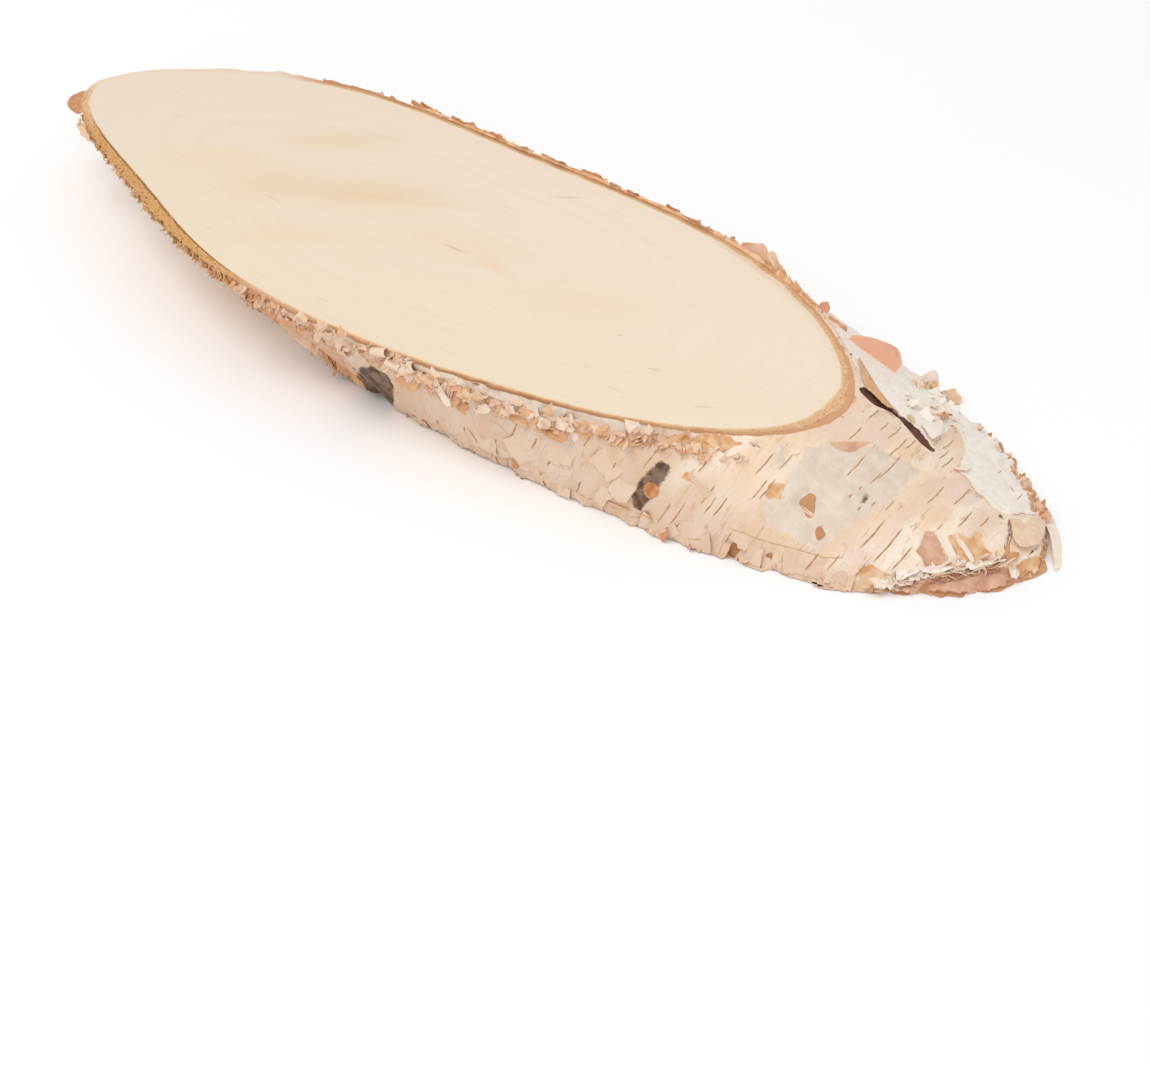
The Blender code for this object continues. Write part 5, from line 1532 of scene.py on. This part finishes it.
@dataclass
class Scatter:
    """Small repeats set on the bark by Geometry Nodes, from a few given shapes."""

    name: str
    relief: BarkRelief
    zones: tuple[Zone, ...]
    shapes: list[bpy.types.Object]
    seed: int = 1
    scale: float = 1.0

    def seeds(self) -> bpy.types.Object:
        """Points on the bark with the directions, size and tint of what grows there."""
        draw = np.random.default_rng(self.seed)
        columns: dict[str, list[Array]] = {key: [] for key in ("point", "ahead", "out", "size", "seed_tint")}
        side = self.relief.side
        for zone in self.zones:
            turn = draw.uniform(*zone.turns, zone.count)
            share = draw.uniform(*zone.shares, zone.count)
            level, up, out = side.axes(turn, share)
            angle = np.radians(zone.heading + draw.normal(0.0, zone.spread, zone.count))[:, None]
            columns["point"].append(self.relief.surface(turn, share, -0.1 * MM))
            columns["ahead"].append(up * np.cos(angle) + level * np.sin(angle))
            columns["out"].append(out)
            columns["size"].append(draw.uniform(*zone.size, zone.count))
            columns["seed_tint"].append(draw.uniform(*zone.tint, zone.count))
        joined = {key: np.concatenate(value) for key, value in columns.items()}
        thing = mesh_object(self.name, joined.pop("point"), [], None)
        for key, values in joined.items():
            store(thing, key, values)
        return thing

    def tree(self, folder: bpy.types.Collection, material: bpy.types.Material) -> bpy.types.NodeTree:
        """The node tree that puts a shape on each seed."""
        tree = bpy.data.node_groups.new(self.name, "GeometryNodeTree")
        face = tree.interface
        face.new_socket("Seeds", in_out="INPUT", socket_type="NodeSocketGeometry")
        face.new_socket("Scale", in_out="INPUT", socket_type="NodeSocketFloat")
        face.new_socket("Shape Seed", in_out="INPUT", socket_type="NodeSocketInt")
        face.new_socket("Result", in_out="OUTPUT", socket_type="NodeSocketGeometry")
        start = add(tree, "NodeGroupInput")
        kinds = {"ahead": "FLOAT_VECTOR", "out": "FLOAT_VECTOR", "size": "FLOAT", "seed_tint": "FLOAT"}
        named = {
            key: add(tree, "GeometryNodeInputNamedAttribute", {"Name": key}, data_type=kind).outputs[0]
            for key, kind in kinds.items()
        }
        turned = add(
            tree, "FunctionNodeAxesToRotation", {0: named["out"], 1: named["ahead"]},
            primary_axis="Z", secondary_axis="Y",
        )
        size = add(tree, "ShaderNodeMath", {0: named["size"], 1: start.outputs["Scale"]}, operation="MULTIPLY")
        kept = add(
            tree, "GeometryNodeStoreNamedAttribute",
            {"Geometry": start.outputs["Seeds"], "Name": "tint", "Value": named["seed_tint"]},
            data_type="FLOAT", domain="POINT",
        )
        shapes = add(
            tree, "GeometryNodeCollectionInfo",
            {"Collection": folder, "Separate Children": True, "Reset Children": True},
        )
        pick = add(
            tree, "FunctionNodeRandomValue",
            {4: 0, 5: len(self.shapes) - 1, "Seed": start.outputs["Shape Seed"]}, data_type="INT",
        )
        placed = add(
            tree, "GeometryNodeInstanceOnPoints",
            {"Points": kept.outputs[0], "Instance": shapes.outputs[0], "Pick Instance": True,
             "Instance Index": pick.outputs[2], "Rotation": turned.outputs[0], "Scale": size.outputs[0]},
        )
        whole = add(tree, "GeometryNodeRealizeInstances", {0: placed.outputs[0]})
        dressed = add(tree, "GeometryNodeSetMaterial", {"Geometry": whole.outputs[0], "Material": material})
        add(tree, "NodeGroupOutput", {0: dressed.outputs[0]})
        return tree

    def build(self, material: bpy.types.Material) -> bpy.types.Object:
        """Evaluates the tree and keeps its plain mesh."""
        folder = bpy.data.collections.new(self.name + "_shapes")
        for shape in self.shapes:
            folder.objects.link(shape)
        thing = self.seeds()
        tree = self.tree(folder, material)
        modifier = thing.modifiers.new("scatter", "NODES")
        modifier.node_group = tree
        sockets = {item.name: item.identifier for item in tree.interface.items_tree if item.in_out == "INPUT"}
        modifier[sockets["Scale"]] = self.scale
        modifier[sockets["Shape Seed"]] = self.seed
        graph = bpy.context.evaluated_depsgraph_get()
        mesh = bpy.data.meshes.new_from_object(thing.evaluated_get(graph))
        points = np.array([vertex.co for vertex in mesh.vertices])
        points[:, 2] = np.maximum(points[:, 2], 0.05 * MM)
        mesh.vertices.foreach_set("co", points.astype(np.float32).ravel())
        thing.modifiers.clear()
        thing.data = mesh
        for shape in self.shapes:
            bpy.data.objects.remove(shape)
        bpy.data.collections.remove(folder)
        return thing


def shred_shapes(count: int, seed: int, length: Place = (1.5, 3.4), curl: Place = (-20.0, 220.0)) -> list[bpy.types.Object]:
    """Small curled shreds of paper, with roots at the origin and tips towards +Y; lengths are in millimetres."""
    draw = np.random.default_rng(seed)
    shapes = []
    for number in range(count):
        peel = Peel(
            0.0, 0.0, 0.0, draw.uniform(1.0, 3.0) * MM, draw.uniform(*length) * MM, draw.uniform(10.0, 45.0),
            draw.uniform(*curl), draw.uniform(0.2, 0.8), draw.uniform(-0.3, 0.3) * MM, 0.5, 0.8,
        )
        gathered = SheetSolid(0.12 * MM)
        gathered.add_sheet(peel.profile(6, 4, seed + number) + (0.0, 0.0, 0.2 * MM), 0.5, bool(number % 2))
        shape = gathered.finish(f"shred_{seed}_{number}", None)
        shape.data.attributes.remove(shape.data.attributes["tint"])
        shapes.append(shape)
    return shapes


def fibre_shapes(count: int, seed: int) -> list[bpy.types.Object]:
    """Curved bast fibres with three sides, from the origin towards +Y and +Z."""
    draw = np.random.default_rng(seed)
    shapes = []
    stations = 6
    for number in range(count):
        ratio = np.linspace(0.0, 1.0, stations)
        length, curl = draw.uniform(1.0, 2.6) * MM, draw.uniform(-1.2, 3.5)
        rise = draw.uniform(0.1, 0.8) + curl * ratio
        step = length / (stations - 1)
        bent = draw.uniform(-0.5, 0.5) * MM * ratio**2
        middle = np.stack([bent, np.cumsum(np.cos(rise)) * step - step, np.cumsum(np.sin(rise)) * step - 0.3 * MM], -1)
        radius = draw.uniform(0.05, 0.11) * MM * (1.0 - 0.75 * ratio)
        points = []
        for i in range(stations):
            for angle in (0.0, 2.094, 4.189):
                lift = (math.cos(angle), -math.sin(rise[i]) * math.sin(angle), math.cos(rise[i]) * math.sin(angle))
                points.append(middle[i] + np.array(lift) * radius[i])
        faces = grid_faces(stations, 3, True)
        faces += [(0, 1, 2), (3 * stations - 1, 3 * stations - 2, 3 * stations - 3)]
        shapes.append(mesh_object(f"fibre_{seed}_{number}", np.array(points), faces, None))
    return shapes


@dataclass
class Studio:
    """The floor, the soft light and the camera."""

    # The camera's place and axes, from the fit of both sawn outlines to the photograph
    eye: tuple[float, float, float] = (0.34939, -0.32608, 0.27382)
    right: tuple[float, float, float] = (0.70869, 0.70552, 0.0)
    up: tuple[float, float, float] = (-0.40371, 0.40553, 0.82010)
    back: tuple[float, float, float] = (0.57859, -0.58120, 0.57222)
    lens: float = 70.82
    sensor: float = 36.0
    sky: float = 0.72
    # Each light's place, size and power
    lamps: tuple = (((-0.5, -0.5, 1.3), 0.9, 6.0), ((1.1, -0.9, 0.9), 1.0, 5.0))

    def camera(self) -> None:
        """Sets the camera at the photograph's view."""
        data = bpy.data.cameras.new("camera")
        data.lens = self.lens
        data.sensor_width = self.sensor
        data.sensor_fit = "HORIZONTAL"
        data.clip_start = 0.01
        data.clip_end = 10.0
        camera = bpy.data.objects.new("camera", data)
        bpy.context.scene.collection.objects.link(camera)
        turned = Matrix([self.right, self.up, self.back]).transposed().to_4x4()
        camera.matrix_world = Matrix.Translation(self.eye) @ turned
        bpy.context.scene.camera = camera

    def floor(self) -> bpy.types.Object:
        """A wide pale floor just under the slice."""
        half = 3.0
        points = np.array([(-half, -half, 0.0), (half, -half, 0.0), (half, half, 0.0), (-half, half, 0.0)])
        finish = PlainFinish("pale floor", 0.9, "FFFFFF", "FEFEFE", 4.0)
        return mesh_object("floor", points - (0.0, 0.0, 0.1 * MM), [(0, 1, 2, 3)], finish.make())

    def lights(self) -> None:
        """A bright even sky and large soft lights from above."""
        scene = bpy.context.scene
        world = bpy.data.worlds.new("soft sky")
        world.use_nodes = True
        world.node_tree.nodes["Background"].inputs["Color"].default_value = (1.0, 1.0, 1.0, 1.0)
        world.node_tree.nodes["Background"].inputs["Strength"].default_value = self.sky
        scene.world = world
        for number, (place, size, power) in enumerate(self.lamps):
            data = bpy.data.lights.new(f"soft_light_{number}", "AREA")
            data.size = size
            data.energy = power
            light = bpy.data.objects.new(data.name, data)
            light.location = place
            light.rotation_euler = (-Vector(place)).to_track_quat("-Z", "Y").to_euler()
            scene.collection.objects.link(light)
        scene.view_settings.view_transform = "Standard"


def seat(thing: bpy.types.Object, slot: str, *nodes: str) -> None:
    """Sets a finished piece on the model's body, in place of the named solids."""
    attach(thing, BODY)
    if nodes:
        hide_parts(*nodes)
    thing.data.calc_loop_triangles()
    LOG.info("%s: %d triangles", thing.name, len(thing.data.loop_triangles))


def main() -> None:
    """Builds every piece in order and reports it."""
    logging.basicConfig(level=logging.INFO, format="%(name)s %(message)s")
    studio = Studio()
    studio.camera()
    studio.lights()
    studio.floor()
    relief = BarkRelief()
    wood = SawnBody(relief.side)
    seat(wood.build(), "wood", "wood")
    seat(BastRing(relief, wood).build(), "inner_bark", "inner_bark")
    seat(PaperSheet(relief).build(), "outer_bark", "outer_bark")
    paper = PeeledPaper().make()
    warm = PeeledPaper(
        "warm birch shreds", 0.7, ("F0DDCB", "E9C9AD", "DAAE8B", "E3B89E"), ("EDD0B4", "E0AF85", "C98F64", "DFA788")).make()
    skin = PeeledPaper(
        "papery skin", 0.7, ("E7D1BC", "E2C6AC", "DBBA9D", "DFBCA4"), ("E6C9AC", "DDB690", "CFA27C", "DDB090")).make()
    for name, sheets, seed, look in (
        ("right_end_peels", RIGHT_END, 100, paper), ("rolled_lip", ROLLED_LIP, 200, paper),
        ("near_side_peels", NEAR_SIDE, 300, warm), ("left_side_peels", LEFT_SIDE, 400, warm),
        ("near_side_sheets", NEAR_SHEETS, 500, skin),
    ):
        seat(LoosePeels(name, relief, sheets, seed).build(look), "outer_bark")
    lines = BarkLines(relief)
    cork = PlainFinish("corky lenticel", 0.85, "CDA176", "AF7F55", 900.0).make()
    # Dark brown for the crack and the lines beside loose sheets: the inner bark's brown with painted shade, and painted
    # shadow
    brown = PlainFinish("dark inner bark in a crack", 0.9, "57302A", "6E4034", 1500.0).make()
    tan = PlainFinish("torn sheet edge", 0.8, "DCB893", "CBA27C", 900.0).make()
    shade = PlainFinish("shaded bark in a slot", 0.9, "A67A66", "BD937B", 900.0).make()
    seat(lines.build("lenticels", lines.lenticels(), 0.07 * MM, cork), "outer_bark")
    seat(lines.build("dark_gaps", lines.strokes(CRACK_AND_PAINTED_SHADOW_STROKES), -0.05 * MM, brown), "outer_bark")
    seat(lines.build("sheet_edges", lines.strokes(EDGE_STROKES), 0.08 * MM, tan), "outer_bark")
    seat(lines.build("shaded_slots", lines.strokes(SHADE_STROKES), -0.03 * MM, shade), "outer_bark")
    seat(KnotEye(relief).build(), "outer_bark")
    shreds = Scatter("edge_shreds", relief, (
        Zone((283.0, 336.0), (0.09, 0.19), 110, 180.0, 60.0, (0.5, 1.0), (0.0, 0.6)),
        Zone((250.0, 284.0), (0.01, 0.25), 70, 180.0, 60.0, (0.5, 1.1), (0.4, 1.0)),
        Zone((262.0, 340.0), (0.95, 0.985), 110, 180.0, 60.0, (0.3, 0.6), (0.2, 0.8)),
        Zone((357.0, 60.0 + 360.0), (0.93, 0.99), 60, 120.0, 60.0, (0.4, 0.9), (0.3, 0.9)),
        Zone((16.0, 32.0), (0.92, 0.99), 40, 100.0, 50.0, (0.6, 1.1), (0.5, 1.0)),
        Zone((20.0, 200.0), (0.005, 0.03), 60, 0.0, 60.0, (0.3, 0.7)),
        Zone((60.0, 240.0), (0.90, 0.98), 160, 180.0, 60.0, (0.4, 0.9)),
    ), shred_shapes(7, 40), seed=41)
    seat(shreds.build(warm), "outer_bark")
    frayed = PlainFinish("frayed bast", 0.9, "E2B888", "C28F5E", 700.0).make()
    lumps = Scatter("bast_lumps", relief, (
        Zone((203.0, 262.0), (-0.01, 0.06), 420, 90.0, 70.0, (0.7, 1.6)),
    ), shred_shapes(6, 50, (0.9, 1.8), (20.0, 200.0)), seed=51)
    seat(lumps.build(frayed), "inner_bark")
    fibres = Scatter("bast_fibres", relief, (
        Zone((200.0, 268.0), (0.0, 0.08), 520, 180.0, 80.0, (0.6, 1.3)),
        Zone((272.0, 340.0), (0.005, 0.03), 200, 180.0, 60.0, (0.3, 0.7)),
    ), fibre_shapes(8, 60), seed=61)
    seat(fibres.build(frayed), "inner_bark")


if __name__ == "__main__":
    main()
